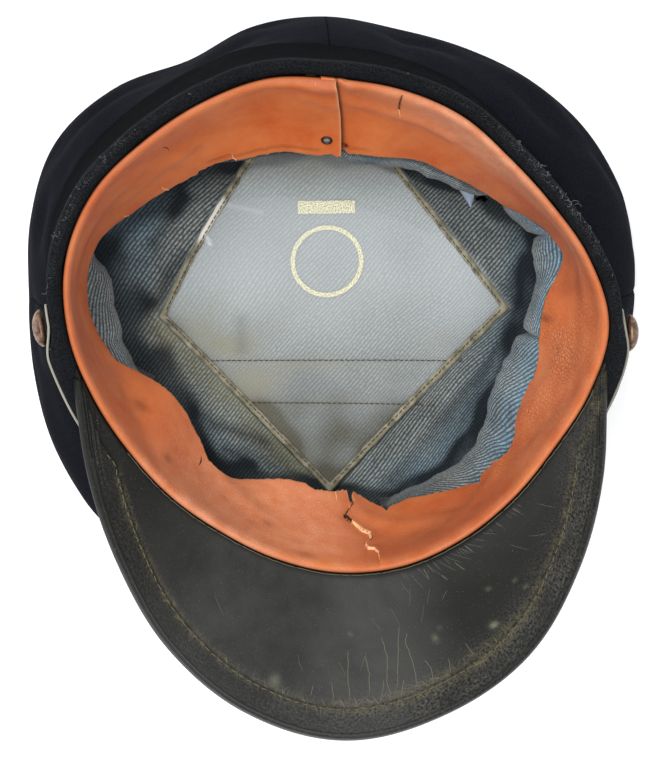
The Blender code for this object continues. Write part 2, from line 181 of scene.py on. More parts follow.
# %% Grids, solids and finished pieces
def laid_grid(across, along_count, place, cloth=None, masks=None, cut=None):
    """Grid moved by place(s, t). cloth(s, t) gives its UVs, masks its point values, cut its holes."""
    bm = bmesh.new()
    bmesh.ops.create_grid(bm, x_segments=across, y_segments=along_count, size=0.5)
    layers = {name: bm.verts.layers.float.new(name) for name in masks or ()}
    flat = {v: (round(v.co.x + 0.5, 6), round(v.co.y + 0.5, 6)) for v in bm.verts}
    if cloth:
        layer = bm.loops.layers.uv.new("cloth")
        for face in bm.faces:
            for loop in face.loops:
                loop[layer].uv = cloth(*flat[loop.vert])
    for name, value in (masks or {}).items():
        for v, (s, t) in flat.items():
            v[layers[name]] = value(s, t)
    if cut:
        gone = [
            f for f in bm.faces
            if cut(sum(flat[v][0] for v in f.verts) / 4, sum(flat[v][1] for v in f.verts) / 4)
        ]
        bmesh.ops.delete(bm, geom=gone, context="FACES")
    for v in bm.verts:
        v.co = place(*flat[v])
    bmesh.ops.remove_doubles(bm, verts=bm.verts, dist=1e-6)
    return bm


def show(name, data):
    """New object in the scene, from a mesh, a curve, a lamp or a camera."""
    shown = bpy.data.objects.new(name, data)
    bpy.context.scene.collection.objects.link(shown)
    return shown


def keep(bm, name, material, nodes=(), wall=None, offset=-1.0, rim_material=None):
    """Finished piece from a bmesh that was laid out about the head's centre."""
    bmesh.ops.translate(bm, verts=bm.verts, vec=HEAD)
    mesh = bpy.data.meshes.new(name)
    bm.to_mesh(mesh)
    bm.free()
    mesh.shade_smooth()
    mesh.materials.append(material)
    piece = show(name, mesh)
    if wall:
        solid = piece.modifiers.new("wall", "SOLIDIFY")
        solid.thickness, solid.offset, solid.use_even_offset = wall, offset, False
        if rim_material:
            mesh.materials.append(rim_material)
            solid.material_offset_rim = 1
    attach(piece, "root")
    if nodes:
        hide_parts(*nodes)
    print(f"{name}: {len(mesh.vertices)} points, {len(mesh.polygons)} faces")
    return piece


def threads(name, material, runs, thick):
    """Thin round strands along lists of points, all in one piece."""
    curve = bpy.data.curves.new(name, "CURVE")
    curve.dimensions, curve.bevel_depth, curve.bevel_resolution = "3D", thick / 2, 1
    curve.use_fill_caps = True
    for points in runs:
        spline = curve.splines.new("POLY")
        spline.points.add(len(points) - 1)
        for k, p in enumerate(points):
            spline.points[k].co = (*(Vector(p) + HEAD), 1)
            spline.points[k].radius = 0.55 if k in (0, len(points) - 1) else 1
    strand = show(name + "_line", curve)
    mesh = bpy.data.meshes.new_from_object(strand)
    bpy.data.objects.remove(strand)
    mesh.name = name
    mesh.materials.clear()
    mesh.materials.append(material)
    mesh.shade_smooth()
    piece = show(name, mesh)
    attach(piece, "root")
    print(f"{name}: {len(runs)} strands, {len(mesh.polygons)} faces")

# %% [markdown]
# ## Helpers for finishes
# Colours are picked as sRGB hex codes, the way a paint program shows them, and turned to the linear
# values that the shader adds up. One function adds a node, with its settings and what is plugged
# into it, so each finish below reads as a short list of layers. Another starts a material.

# %% Colour and nodes
def tint(code):
    """sRGB hex code to a linear colour."""
    parts = [int(code[k:k + 2], 16) / 255 for k in (0, 2, 4)]
    return (*(p / 12.92 if p <= 0.04045 else ((p + 0.055) / 1.055) ** 2.4 for p in parts), 1.0)


def add(tree, kind, plugs=None, **settings):
    """Adds a node. plugs gives its sockets a value, an output, or a node whose first output is used."""
    made = tree.nodes.new("ShaderNode" + kind)
    for key, value in settings.items():
        setattr(made, key, value)
    for key, value in (plugs or {}).items():
        if isinstance(value, bpy.types.Node):
            value = next(plug for plug in value.outputs if plug.enabled)
        if isinstance(value, bpy.types.NodeSocket):
            tree.links.new(value, made.inputs[key])
        else:
            made.inputs[key].default_value = value
    return made


def start(name, **sockets):
    """New material with its Principled shader's plain values set."""
    material = bpy.data.materials.new(name)
    material.use_nodes = True
    shader = material.node_tree.nodes["Principled BSDF"]
    for key, value in sockets.items():
        shader.inputs[key.replace("_", " ")].default_value = value
    print("material:", name)
    return material, material.node_tree, shader


MIX = dict(data_type="RGBA", clamp_factor=True)

# %% [markdown]
# ## Floor, light and camera
# The cap was photographed on a plain white board under wide soft lamps, so shadows are faint. One
# large lamp stands high on the upper left, which leaves the left side of the opening in shade, and
# a pale sky fills the rest. The camera is a metre above the opening and leans a little to the back.

# %% White board
# Matt card, slightly cloudy. A faint glow keeps it pale right to the back.
board, tree, shader = start(
    "matt_white_board", Roughness=0.8, Emission_Color=(1, 1, 1, 1), Emission_Strength=0.3
)
speck = add(tree, "TexNoise", {"Scale": 9.0, "Detail": 3.0})
shade = add(tree, "Mix", {0: speck, 6: tint("f4f4f4"), 7: tint("fbfbfb")}, **MIX)
tree.links.new(shade.outputs[2], shader.inputs["Base Color"])

bm = bmesh.new()
bmesh.ops.create_grid(bm, x_segments=2, y_segments=2, size=6.0)
floor_mesh = bpy.data.meshes.new("floor")
bm.to_mesh(floor_mesh)
bm.free()
floor_mesh.materials.append(board)
floor = show("floor", floor_mesh)
floor.location.z = -0.3 * MM

# %% [markdown]
# Two area lamps stand in for the wide lamps of a photographer's table. A picture of a studio would
# light the cap as softly, but two lamps and an even sky are easier to weigh against each other: the
# sky sets how grey the shadows are, and the key lamp which side is shaded.

# %% Soft lamps and sky
world = bpy.data.worlds.new("studio")
bpy.context.scene.world = world
world.use_nodes = True
world.node_tree.nodes["Background"].inputs["Color"].default_value = (0.96, 0.98, 1.0, 1)
world.node_tree.nodes["Background"].inputs["Strength"].default_value = 0.56


def lamp(name, place, aim, size, power):
    light = bpy.data.lights.new(name, "AREA")
    light.shape, light.size, light.size_y, light.energy = "RECTANGLE", *size, power
    holder = show(name, light)
    holder.location = place
    holder.rotation_euler = (Vector(aim) - Vector(place)).to_track_quat("-Z", "Y").to_euler()
    print(f"{name}: {power:.0f} W, {(Vector(aim) - Vector(place)).length:.2f} m away")


lamp("key_upper_left", (-0.7, 0.95, 1.85), (0, 0, 0.05), (1.0, 1.0), 34.0)
lamp("fill_overhead", (0.15, -0.45, 2.2), (0, 0, 0.05), (1.6, 1.2), 21.0)

# %% [markdown]
# A long lens keeps the opening nearly round. The camera's place and its two directions were worked
# out from the outlines in the photograph, so they are given as numbers and not found by aiming.

# %% Camera
camera = bpy.data.cameras.new("camera")
camera.lens, camera.sensor_width, camera.sensor_fit = 136.17, 36.0, "AUTO"
camera.clip_start, camera.clip_end = 0.05, 20
eye = show("camera", camera)
right = Vector((0.997434, 0.0, 0.071582))
up = Vector((0.016063, 0.974496, -0.223827))
eye.matrix_world = Matrix((
    (*[right.x, up.x, right.cross(up).x], -0.07501),
    (*[right.y, up.y, right.cross(up).y], 0.22388),
    (*[right.z, up.z, right.cross(up).z], 1.05200),
    (0, 0, 0, 1),
))
bpy.context.scene.camera = eye
bpy.context.scene.view_settings.view_transform = "Standard"
print("camera", round(eye.location.length, 3), "m from the cap's foot")

# %% [markdown]
# ## The crown's wool cloth
# The crown is heavy navy wool, milled after weaving so that its surface is a dense short nap. The
# nap hides the weave and scatters light towards the edges of each curve. A fine noise gives the
# fibres, a wider one the places where the nap is rubbed, and sheen gives the pale bloom on curves.

# %% Milled wool
def milled_wool(name, dark, light, bloom):
    material, tree, shader = start(
        name, Roughness=0.92, Sheen_Roughness=0.45, Sheen_Tint=tint("8e93a3")
    )
    # On the band's outer face the colour is painted near black, a painted shade, and the sheen and gloss are
    # turned down there.
    low = add(tree, "Attribute", attribute_name="face_shade").outputs["Fac"]
    for socket, most in (("Sheen Weight", bloom), ("Specular IOR Level", 0.03)):
        left = add(tree, "MapRange", {0: low, 1: 0.0, 2: 0.7, 3: most, 4: 0.0})
        tree.links.new(left.outputs[0], shader.inputs[socket])
    place = add(tree, "TexCoord").outputs["Object"]
    # Fibre tufts of about 0.7 mm, a little coarser than the real nap so that they show.
    nap = add(tree, "TexNoise", {"Vector": place, "Scale": 1400.0, "Detail": 3.0, "Roughness": 0.7})
    worn_and_lit = add(tree, "TexNoise", {"Vector": place, "Scale": 38.0, "Detail": 4.0, "Roughness": 0.6})
    amount = add(tree, "MapRange", {0: nap, 1: 0.35, 2: 0.75})
    worn = add(tree, "MapRange", {0: worn_and_lit, 1: 0.3, 2: 0.75, 3: 0.35, 4: 1.0})
    both = add(tree, "Math", {0: amount, 1: worn}, operation="MULTIPLY")
    cloth = add(tree, "Mix", {0: both, 6: tint(dark), 7: tint(light)}, **MIX)
    # Painted shade: the band's outer face goes towards near black.
    cloth = add(tree, "Mix", {0: low, 6: cloth, 7: tint("08080a")}, **MIX)
    # Lint: pale flecks, few on the crown and many where the edge is rubbed.
    wear_and_light = add(tree, "Attribute", attribute_name="worn_and_lit").outputs["Fac"]
    fleck = add(tree, "TexNoise", {"Vector": place, "Scale": 2300.0, "Detail": 3.0, "Roughness": 0.7})
    lint = add(tree, "MapRange", {0: fleck, 1: 0.5, 2: 0.74})
    share = add(tree, "MapRange", {0: wear_and_light, 3: 0.03, 4: 0.6})
    lint = add(tree, "Math", {0: lint, 1: share}, operation="MULTIPLY")
    cloth = add(tree, "Mix", {0: lint, 6: cloth, 7: tint("8b8d90")}, **MIX)
    tree.links.new(cloth.outputs[2], shader.inputs["Base Color"])
    relief = add(tree, "Bump", {"Height": nap, "Strength": 0.6, "Distance": 0.0005})
    tree.links.new(relief.outputs[0], shader.inputs["Normal"])
    return material


crown_wool = milled_wool("milled_navy_wool", "0f1015", "1e1f26", 0.04)
band_wool = milled_wool("rubbed_charcoal_wool", "0c0d0f", "212326", 0.03)

# %% [markdown]
# ## Crown top and quarters
# The crown's top is one oval and its side is four quarters, seamed to it and to each other. Each
# quarter is its own sheet here, with its edges turned in, so the seams show as fine grooves. The
# cloth is slack, so the quarters also get the long soft dents that the photograph shows.

# %% Crown top
CROWN_RINGS = 26


def top_point(s, t):
    angle, edge = 360 * s, crown(360 * s)
    flat, lip = edge - CROWN_ROUND, CROWN_EDGE_Z - 1 * MM
    if t < 0.4:
        return polar(angle, flat * t / 0.4, 0)
    if t > 0.97:
        return polar(angle, edge, CROWN_EDGE_Z)
    turn = math.pi / 2 * (t - 0.4) / 0.57
    sag = 0.5 * MM * (1 + waver((math.cos(angle / RADIAN), math.sin(angle / RADIAN), t), 0.3, 4))
    out = flat + CROWN_ROUND * math.sin(turn) - sag * math.sin(turn)
    return polar(angle, out, lip * (1 - math.cos(turn)))


oval = laid_grid(180, CROWN_RINGS, top_point)
crown_top = keep(oval, "crown_top_cloth", crown_wool, ["crown_top"], wall=WOOL_T)

# %% [markdown]
# The side could be one ring with drawn seams. Four panels are used, because each real quarter has
# its own turned edges, and the gap between two of them is the seam. Dents run down the whole side,
# and hollows sit at one height, where the slack cloth has sunk in.

# %% Four quarters
DENTS = (
    # angle, half width in degrees, depth in mm: long soft dents down the crown's side
    (12, 5, 1.0), (33, 7, 1.6), (58, 6, 1.3), (74, 4, 1.0), (103, 6, 1.4), (127, 8, 1.2),
    (152, 6, 1.6), (171, 4, 0.8), (196, 6, 1.8), (214, 5, 1.0), (236, 7, 1.4), (262, 8, 1.2),
    (288, 6, 1.3), (312, 8, 1.5), (334, 5, 1.2), (350, 5, 1.0),
)
HOLLOWS = (
    # angle, half width in degrees; middle and half height as shares of the side; depth in mm
    (41, 9, 0.52, 0.16, 3.6), (24, 6, 0.30, 0.14, 2.2), (70, 9, 0.40, 0.14, 2.0),
    (112, 8, 0.55, 0.16, 2.4), (140, 10, 0.36, 0.14, 2.6), (163, 6, 0.62, 0.15, 2.4),
    (185, 7, 0.42, 0.16, 2.0), (208, 9, 0.5, 0.2, 2.2), (352, 6, 0.5, 0.2, 1.8),
)


def quarter_point(first, last):
    low, high = CROWN_EDGE_Z + 0.5 * MM, CROWN_DEPTH - GAP

    def place(s, t):
        angle = first + (last - first) * s
        side = min(s, 1 - s) * math.radians(last - first) * CROWN_HALF
        if side == 0:
            angle += math.copysign(math.degrees(0.1 * MM / CROWN_HALF), 0.5 - s)
        seam = band_outer(angle, CROWN_DEPTH) - 1.2 * MM
        bulge = math.cos(math.pi / 2 * max(0, t - 0.12) / 0.88) ** 0.85
        radius = seam + (crown(angle) - seam) * bulge
        middle = ease(t / 0.2) * ease((1 - t) / 0.25)
        dent = sum(d * hill(turn_between(angle, a), w) for a, w, d in DENTS) * MM
        dent += MM * sum(
            d * hill(turn_between(angle, a), w) * hill(t - up, half) for a, w, up, half, d in HOLLOWS
        )
        dent += 0.5 * MM * waver(polar(angle, radius, t / 30), 0.014, 3)
        groove = 0.5 * MM * hill(side, 1.1 * MM)
        return polar(angle, radius - dent * middle - groove, low + (high - low) * t)

    return place


for quarter, first in (("back_right", 0), ("back_left", 90), ("front_left", 180), ("front_right", 270)):
    node = "quarter_" + quarter
    panel = laid_grid(110, 26, quarter_point(first, first + 90))
    panel = keep(panel, node + "_cloth", crown_wool, [node], wall=WOOL_T)

# %% [markdown]
# ## Band
# The band is stiffened and covered with wool, rolled over at the opening. It is a ring with a
# closed section, so its grid is joined both ways. Rubbing has greyed this edge, and its small
# waves keep it from looking like a machined hoop.

# %% Band
EDGE = ((0.00, 0.75), (0.04, 0.42), (0.13, 0.17), (0.26, 0.04), (0.40, 0.00), (0.56, 0.00),
        (0.72, 0.06), (0.85, 0.2), (0.95, 0.46), (1.00, 0.9))
BAND_SECTION = [(out * BAND_T, RIM_Z - down * 2.4 * MM) for out, down in EDGE]
for share in (0.15, 0.3, 0.45, 0.6, 0.75, 0.88, 1.0):
    BAND_SECTION.append((BAND_T + BAND_FLARE * share, RIM_Z - BAND_HEIGHT * share))
BAND_SECTION += [
    (BAND_RECESS + BAND_FLARE, CROWN_DEPTH), (BAND_RECESS + 0.5 * BAND_FLARE, RIM_Z - 21 * MM),
    (BAND_RECESS, LINING_TOP_Z + 0.5 * MM), (0.0, LINING_TOP_Z + 0.5 * MM + BAND_RECESS),
]


BUTTONS = {"left": (180.0, 0.4 * MM), "right": (357.2, 1.1 * MM)}


def pressed(angle):
    """How far a side button has pressed the band in."""
    return sum(depth * hill(turn_between(angle, a), 5) for a, depth in BUTTONS.values())


def band_point(s, t):
    k = round(s * len(BAND_SECTION)) % len(BAND_SECTION)
    out, z = BAND_SECTION[k]
    angle = 360 * t
    # Inside, the band stays close to the leather until the visor's end comes between them.
    late = min(ease((angle - 187) / 5), ease((353 - angle) / 5))
    room = late + (visor_room(angle) - late) * ease(out / (3 * MM))
    base = rim(angle) + GAP + (VISOR_T + GAP) * room
    spot = polar(angle, base + out - pressed(angle) * ease(out / BAND_T), z)
    wave = 0.3 * MM * waver(spot, 0.012, 1) + 0.2 * MM * waver(spot, 0.004, 2)
    return spot + polar(angle, wave, 0) + Vector((0, 0, wave if 2 < k < 9 else 0))


def band_rub(s, t):
    k = round(s * len(BAND_SECTION)) % len(BAND_SECTION)
    edge = 0.25 if k < 5 else 1 if k < len(EDGE) else 0
    worn = hill(turn_between(360 * t, 28), 30) + 0.8 * hill(turn_between(360 * t, 150), 20)
    return edge * (0.12 + 0.7 * worn) * (0.6 + 0.7 * waver(polar(360 * t, 0.1, k / 500), 0.006, 7))


def band_face_shade(s, t):
    """The band's outer face, which gets painted shade: a darker colour, less sheen and less gloss."""
    return 0.6 if round(s * len(BAND_SECTION)) % len(BAND_SECTION) >= len(EDGE) else 0


hoop = laid_grid(
    len(BAND_SECTION), 360, band_point, masks={"worn_and_lit": band_rub, "face_shade": band_face_shade}
)
bmesh.ops.recalc_face_normals(hoop, faces=hoop.faces)
keep(hoop, "band_cloth", band_wool, ["band"])

# %% [markdown]
# Lint and broken wool fibres cling to the rubbed outer edge, mostly at the back right. Each tuft is
# a few short curled strands, placed where the edge is most worn, and the rest are strewn
# thinly along it.

# %% Lint on the band's edge
LINT_TUFTS = (
    # angle, strands, length in mm
    (45.5, 3, 3.4), (39.5, 6, 1.8), (36.5, 4, 1.6), (28.0, 5, 3.0), (22, 3, 1.4), (150, 2, 1.4),
    (161, 3, 1.6), (171, 2, 2.4),
)
# Matt grey fibres, which catch the eye on the black edge.
lint_fibre = start("grey_lint", Roughness=0.9, Base_Color=tint("6d7073"))[0]
dice = random.Random(3)
fibres = []


def curl_from(angle, out, z, length):
    """Six points of a curled fibre that starts on the band's edge."""
    heading, turn = dice.uniform(0, math.tau), dice.uniform(-1.1, 1.1)
    spot, points = polar(angle, band_base(angle) + out, z), []
    for k in range(6):
        points.append(spot.copy())
        heading += turn
        step = Vector((math.cos(heading), math.sin(heading), dice.uniform(-0.2, 0.45)))
        spot += step * length / 5
    return points


for angle, count, length in LINT_TUFTS:
    for k in range(count):
        fibres.append(curl_from(
            angle + dice.uniform(-0.7, 0.7), BAND_T + dice.uniform(-0.6, 0.4) * MM,
            RIM_Z - 0.6 * MM, length * dice.uniform(0.5, 1.1) * MM,
        ))
for k in range(60):
    angle = dice.gauss(30, 16) if k % 3 else dice.gauss(150, 16)
    fibres.append(curl_from(
        angle, BAND_T * dice.uniform(0.7, 1.0), RIM_Z - 0.1 * MM, dice.uniform(0.5, 1.3) * MM
    ))
threads("band_lint", lint_fibre, fibres, thick=0.11 * MM)

# %% [markdown]
# ## Sweatband leather
# The sweatband is one strip of vegetable-tanned sheepskin, dyed orange-brown, about 45 mm wide. It
# is sewn in at the rim, rolls over it and leans inwards, more at the back than at the sides. Wear
# has polished the roll and torn the free edge, and heat and sweat have drawn fine wrinkles in it.

# %% Sweatband material
def polished_sheepskin():
    """Grain side: satin, with a pebble grain of 0.5 mm, wrinkles of 1.5 mm, oil spots, painted shade and
    painted highlights.
    """
    material, tree, shader = start("dyed_sheepskin", Roughness=0.45, Specular_IOR_Level=0.36)
    uv = add(tree, "TexCoord").outputs["UV"]
    mottle = add(tree, "TexNoise", {"Vector": uv, "Scale": 46.0, "Detail": 5.0, "Roughness": 0.62})
    dye = add(tree, "MapRange", {0: mottle, 1: 0.32, 2: 0.7})
    base = add(tree, "Mix", {0: dye, 6: tint("bf5a27"), 7: tint("d27944")}, **MIX)
    # Rubbed wear together with painted light: a painted highlight on the roll and paler patches where more
    # light falls.
    wear_and_light = add(tree, "Attribute", attribute_name="worn_and_lit").outputs["Fac"]
    patch = add(tree, "TexNoise", {"Vector": uv, "Scale": 160.0, "Detail": 4.0})
    worn_and_lit = add(tree, "Math", {0: wear_and_light, 1: patch}, operation="MULTIPLY")
    worn_and_lit = add(tree, "MapRange", {0: worn_and_lit, 1: 0.05, 2: 0.62})
    base = add(tree, "Mix", {0: worn_and_lit, 6: base, 7: tint("e29b75")}, **MIX)
    # Crumbs of the dye's own colour and pale dust catch on the rubbed grain.
    crumb = add(tree, "TexNoise", {"Vector": uv, "Scale": 1500.0, "Detail": 2.0})
    crumb = add(tree, "MapRange", {0: crumb, 1: 0.62, 2: 0.72})
    crumb = add(tree, "Math", {0: crumb, 1: wear_and_light}, operation="MULTIPLY")
    base = add(tree, "Mix", {0: crumb, 6: base, 7: tint("efc2a4")}, **MIX)
    # Oil stains with painted shade, the pale raw edge, and painted shade behind the rim, beside the lap and
    # in the small hole.
    for mark, colour in (("oil_and_shade", "7d3a20"), ("raw", "eab98a"), ("shade_and_hole", "2e120a")):
        marked = add(tree, "Attribute", attribute_name=mark).outputs["Fac"]
        base = add(tree, "Mix", {0: marked, 6: base, 7: tint(colour)}, **MIX)
    grain = add(tree, "TexVoronoi", {"Vector": uv, "Scale": 1900.0})
    bent = add(tree, "TexNoise", {"Vector": uv, "Scale": 240.0, "Detail": 2.0})
    bend = add(tree, "Mix", {0: 0.002, 4: uv, 5: bent.outputs["Color"]}, data_type="VECTOR")
    crease = add(
        tree, "TexVoronoi", {"Vector": bend, "Scale": 640.0}, feature="DISTANCE_TO_EDGE"
    )
    crease = add(tree, "MapRange", {0: crease, 1: 0.0, 2: 0.16})
    drawn = add(tree, "Attribute", attribute_name="wrinkle").outputs["Fac"]
    wrinkle = add(tree, "Mix", {0: drawn, 2: 1.0, 3: crease}, data_type="FLOAT")
    shadow = add(tree, "MapRange", {0: wrinkle, 1: 0.0, 2: 0.8, 3: 0.24, 4: 0.0})
    base = add(tree, "Mix", {0: shadow, 6: base, 7: tint("8a3a1c")}, **MIX)
    tree.links.new(base.outputs[2], shader.inputs["Base Color"])
    fine = add(tree, "Bump", {"Height": grain, "Strength": 0.34, "Distance": 0.0002})
    deep = add(
        tree, "Bump",
        {"Height": wrinkle, "Strength": 0.9, "Distance": 0.0003, "Normal": fine},
    )
    tree.links.new(deep.outputs[0], shader.inputs["Normal"])
    gloss = add(tree, "MapRange", {0: patch, 1: 0.3, 2: 0.7, 3: 0.33, 4: 0.52})
    tree.links.new(gloss.outputs[0], shader.inputs["Roughness"])
    return material


sheepskin = polished_sheepskin()

# %% [markdown]
# The free edge is torn, so how far the leather reaches is read round the opening as a share of its
# full width. The lap at the centre back, the tear at the front and a crack near the back right are
# places on the strip, given as an angle and a share of the width.

# %% Sweatband shape
# The lap: its angle, the step on to the layer under it and the curl of its end. Angles go on past
# 360 on the covered layer, which starts at the last value here.
LAP_SEAM, LAP_STEP, LAP_CURL, COVERED_FROM = 88, 1.7 * MM, 1.2 * MM, 430
SWEAT_TOP_Z = RIM_Z + 0.4 * MM
FREE_EDGE = (
    # angle, share of the leather's width left there
    (-11.5, 1.00), (1.1, 0.98), (5, 0.955), (9.3, 0.89), (12.7, 0.82), (15.1, 0.95), (17, 1.16),
    (20, 1.18), (24, 1.05), (35.8, 1.03), (45.4, 1.02), (56.4, 0.99), (65.8, 1.01), (84, 1.01),
    (86, 0.975), (90, 0.965), (92, 0.985), (94, 1.01), (110, 1.02), (121.5, 1.01), (122.3, 0.965),
    (133, 0.98), (133.6, 1.01), (148.6, 1.05), (153.4, 1.07), (158.5, 1.03), (162.9, 0.97),
    (175.5, 0.99), (181.2, 0.95), (186.7, 0.89), (192.5, 0.87), (197.3, 0.99), (202.4, 1.04),
    (217.4, 1.02), (225.1, 0.97), (227.6, 0.93), (230.6, 0.85), (237.5, 0.86), (245.3, 0.97),
    (256, 1.02), (261.5, 1.03), (265, 0.97), (271, 0.99), (275.0, 1.06), (275.2, 0.95),
    (276.2, 0.93), (276.9, 1.07), (279, 1.06), (284.6, 0.955), (285.1, 0.88), (286.2, 0.97),
    (291.6, 1.02), (300, 0.92), (307.4, 0.79), (309.9, 0.68), (311.2, 0.78), (313.4, 0.82),
    (315.8, 0.96), (316.6, 0.72), (320.8, 0.69), (325.6, 0.78), (327.2, 0.91), (332, 0.92),
    (333, 0.955), (338.3, 0.96), (339.4, 0.91), (340.4, 0.93), (344.7, 0.96), (348.5, 1.00),
)
TEAR = (
    (276.2, 0.99), (276.6, 0.93), (273.3, 0.75), (275.1, 0.69), (277.3, 0.60), (279.1, 0.56),
    (279.1, 0.47), (277.4, 0.38), (277.9, 0.31), (279.4, 0.30), (280.2, 0.22), (280.0, 0.11),
)
CRACK = ((75.1, 0.02), (75.0, 0.10), (74.7, 0.17), (74.5, 0.23), (74.1, 0.29), (73.6, 0.34), (72.9, 0.40))
OIL_AND_SHADE_SPOTS = (
    # angle, share, half width and half height in mm, strength: oil stains; the wide faint patches and the
    # one at 356.5 are painted shade
    (205.2, 0.66, 3.4, 1.6, 0.6), (219.6, 0.41, 2.6, 1.6, 0.6), (251.8, 0.43, 3.0, 1.2, 0.5),
    (262, 0.13, 4, 1.0, 0.45), (5.6, 0.72, 4.2, 2.6, 0.3), (97, 0.6, 6, 3, 0.12), (128, 0.5, 9, 4, 0.16),
    (150, 0.62, 16, 6, 0.22), (296, 0.3, 24, 5, 0.44), (356.5, 0.95, 1.6, 2.4, 0.75),
    (7.5, 0.5, 5, 2.4, 0.4),
)
CREASES = (
    # from angle, share, to angle, share; width and depth in mm: soft folds in the leather
    (86, 0.36, 58, 0.46, 3.4, 0.9), (97, 0.28, 90, 0.34, 3.4, 0.6), (344, 0.30, 326, 0.50, 5.5, -0.7),
    (350, 0.62, 330, 0.80, 4.5, 0.8), (216, 0.30, 196, 0.80, 6.0, -0.7), (250, 0.55, 232, 0.92, 4.5, 0.8),
    (300, 0.45, 280, 0.80, 4.5, 0.8), (165, 0.35, 135, 0.62, 6.5, 0.8), (300, 0.30, 318, 0.70, 4.0, 0.7),
    (20, 0.30, 2, 0.42, 5.0, 0.6), (150, 0.75, 128, 0.60, 3.2, 0.6),
)
# Metres along the strip for one degree, at the opening's mean half width.
DEGREE = math.radians(1) * 0.93 * HEAD_HALF


def lean_drop(angle):
    lean = SWEAT_WIDTH * column("lean", angle)
    return lean, 0.96 * math.sqrt(SWEAT_WIDTH**2 - lean**2)


def free_edge(angle):
    a = angle % 360
    reach = along(FREE_EDGE, a - 360 if a > 348.5 else a)
    place = (angle / RADIAN, 0, 0)
    return reach + 0.012 * waver(place, 0.013, 6) + 0.006 * waver(place, 0.004, 9)


def on_strip(angle, share):
    """Plane point of the flat strip in metres, counted from the lap at the back."""
    return Vector(((LAP_SEAM + (angle - LAP_SEAM) % 360) * DEGREE, share * SWEAT_WIDTH))


def beside(path, p):
    """Distance from p to a line through plane points, and the side it is on: 1 or -1."""
    best, side = 1.0, 1.0
    for a, b in zip(path, path[1:]):
        run, off = b - a, p - a
        k = min(1, max(0, off.dot(run) / max(run.length_squared, 1e-12)))
        away = (off - run * k).length
        if away < best:
            best, side = away, math.copysign(1, run.x * off.y - run.y * off.x)
    return best, side


TEAR_LINE = [on_strip(*spot) for spot in TEAR]
CRACK_LINE = [on_strip(*spot) for spot in CRACK]
CREASE_LINES = [([on_strip(*c[:2]), on_strip(*c[2:4])], c[4] * MM, c[5] * MM) for c in CREASES]
SMALL_HOLE = on_strip(85.4, 0.93)

# %% [markdown]
# Over the rim the leather rolls in a soft shoulder, and below it hangs and leans inwards. Its face
# is worked out from an angle and a share of the width, so that the eyelet, the tear and the folds
# of the lining can be laid on the same face later. Dents and soft folds keep it from being even.

# %% Face of the leather
ROLL, SHOULDER = 0.11, 1.5 * MM


def leather(angle, share, lift=0.0):
    """Point on the leather's visible face; lift raises it towards the opening's middle."""
    lean, drop = lean_drop(angle)
    back = rim(angle) - LEATHER_T * (1 - 0.8 * min(1, share)) - lean * max(0, share) ** 1.35
    # Over the rim the leather rolls in a wide soft shoulder, and then hangs.
    turn = min(1, share / ROLL) * math.pi / 2
    shoulder = SHOULDER * math.sin(turn) * (1 - ease((share - ROLL) / 0.6))
    down = drop * (ROLL * (1 - math.cos(turn)) if share < ROLL else share)
    return polar(angle, back - shoulder - lift, SWEAT_TOP_Z - down)


def leather_dents(angle, share):
    spot = (angle * DEGREE, share * SWEAT_WIDTH, 0)
    dent = 0.55 * MM * waver(spot, 0.021, 5) + 0.12 * MM * waver(spot, 0.006, 8)
    for line, width, depth in CREASE_LINES:
        dent += depth * hill(beside(line, Vector(spot[:2]))[0], width)
    return dent * ease(share / 0.22)


for side, angle in (("front", 270), ("back", 90)):
    lean, drop = lean_drop(angle)
    print(f"leather at the {side}: leans in {lean * 1000:.0f} mm over a drop of {drop * 1000:.0f} mm")

# %% [markdown]
# The strip's columns are angles. They are closer where more happens: at the lap, the tear, the torn
# edge at the right and the crack. The fold over the rim is five rows of its own. Point values mark
# where the finish is rubbed, wrinkled, oily, raw or dark, and where light and shade are painted:
# painted highlights go with the rubbed values, painted shade with the oily and dark ones.

# %% Strip and its marks
columns = [LAP_SEAM + 0.45 * k for k in range(20)]
columns += [97.0 + 1.0 * k for k in range(168)] + [265.0 + 0.25 * k for k in range(76)]
columns += [284.0 + 1.0 * k for k in range(20)] + [304.0 + 0.5 * k for k in range(90)]
columns += [349.0 + 1.0 * k for k in range(82)] + [431.0 + 0.3 * k for k in range(26)]
columns += [438.8 + 0.4 * k for k in range(39)]
FOLD_BACK = ((-0.15, -3.2), (-0.08, -1.5), (-0.2, -0.6), (-0.5, -0.12), (-0.9, 0.0))
LEATHER_ROWS = 58


def lap_slant(share):
    """Degrees by which the lap's end leans, at a share of the strip's width."""
    return 2.7 - 3.9 * share


def strip_place(s, t):
    """Angle and share of the width at a grid point, and the number of its row."""
    k = round(s * (len(columns) - 1))
    row = round(t * (LEATHER_ROWS + len(FOLD_BACK)))
    share = max(0, row - len(FOLD_BACK) + 0.6) / (LEATHER_ROWS + 0.6)
    angle = columns[k]
    slant = lap_slant(share) * (1 - ease((angle - LAP_SEAM) / 12))
    return angle + slant, share * free_edge(angle + slant), row


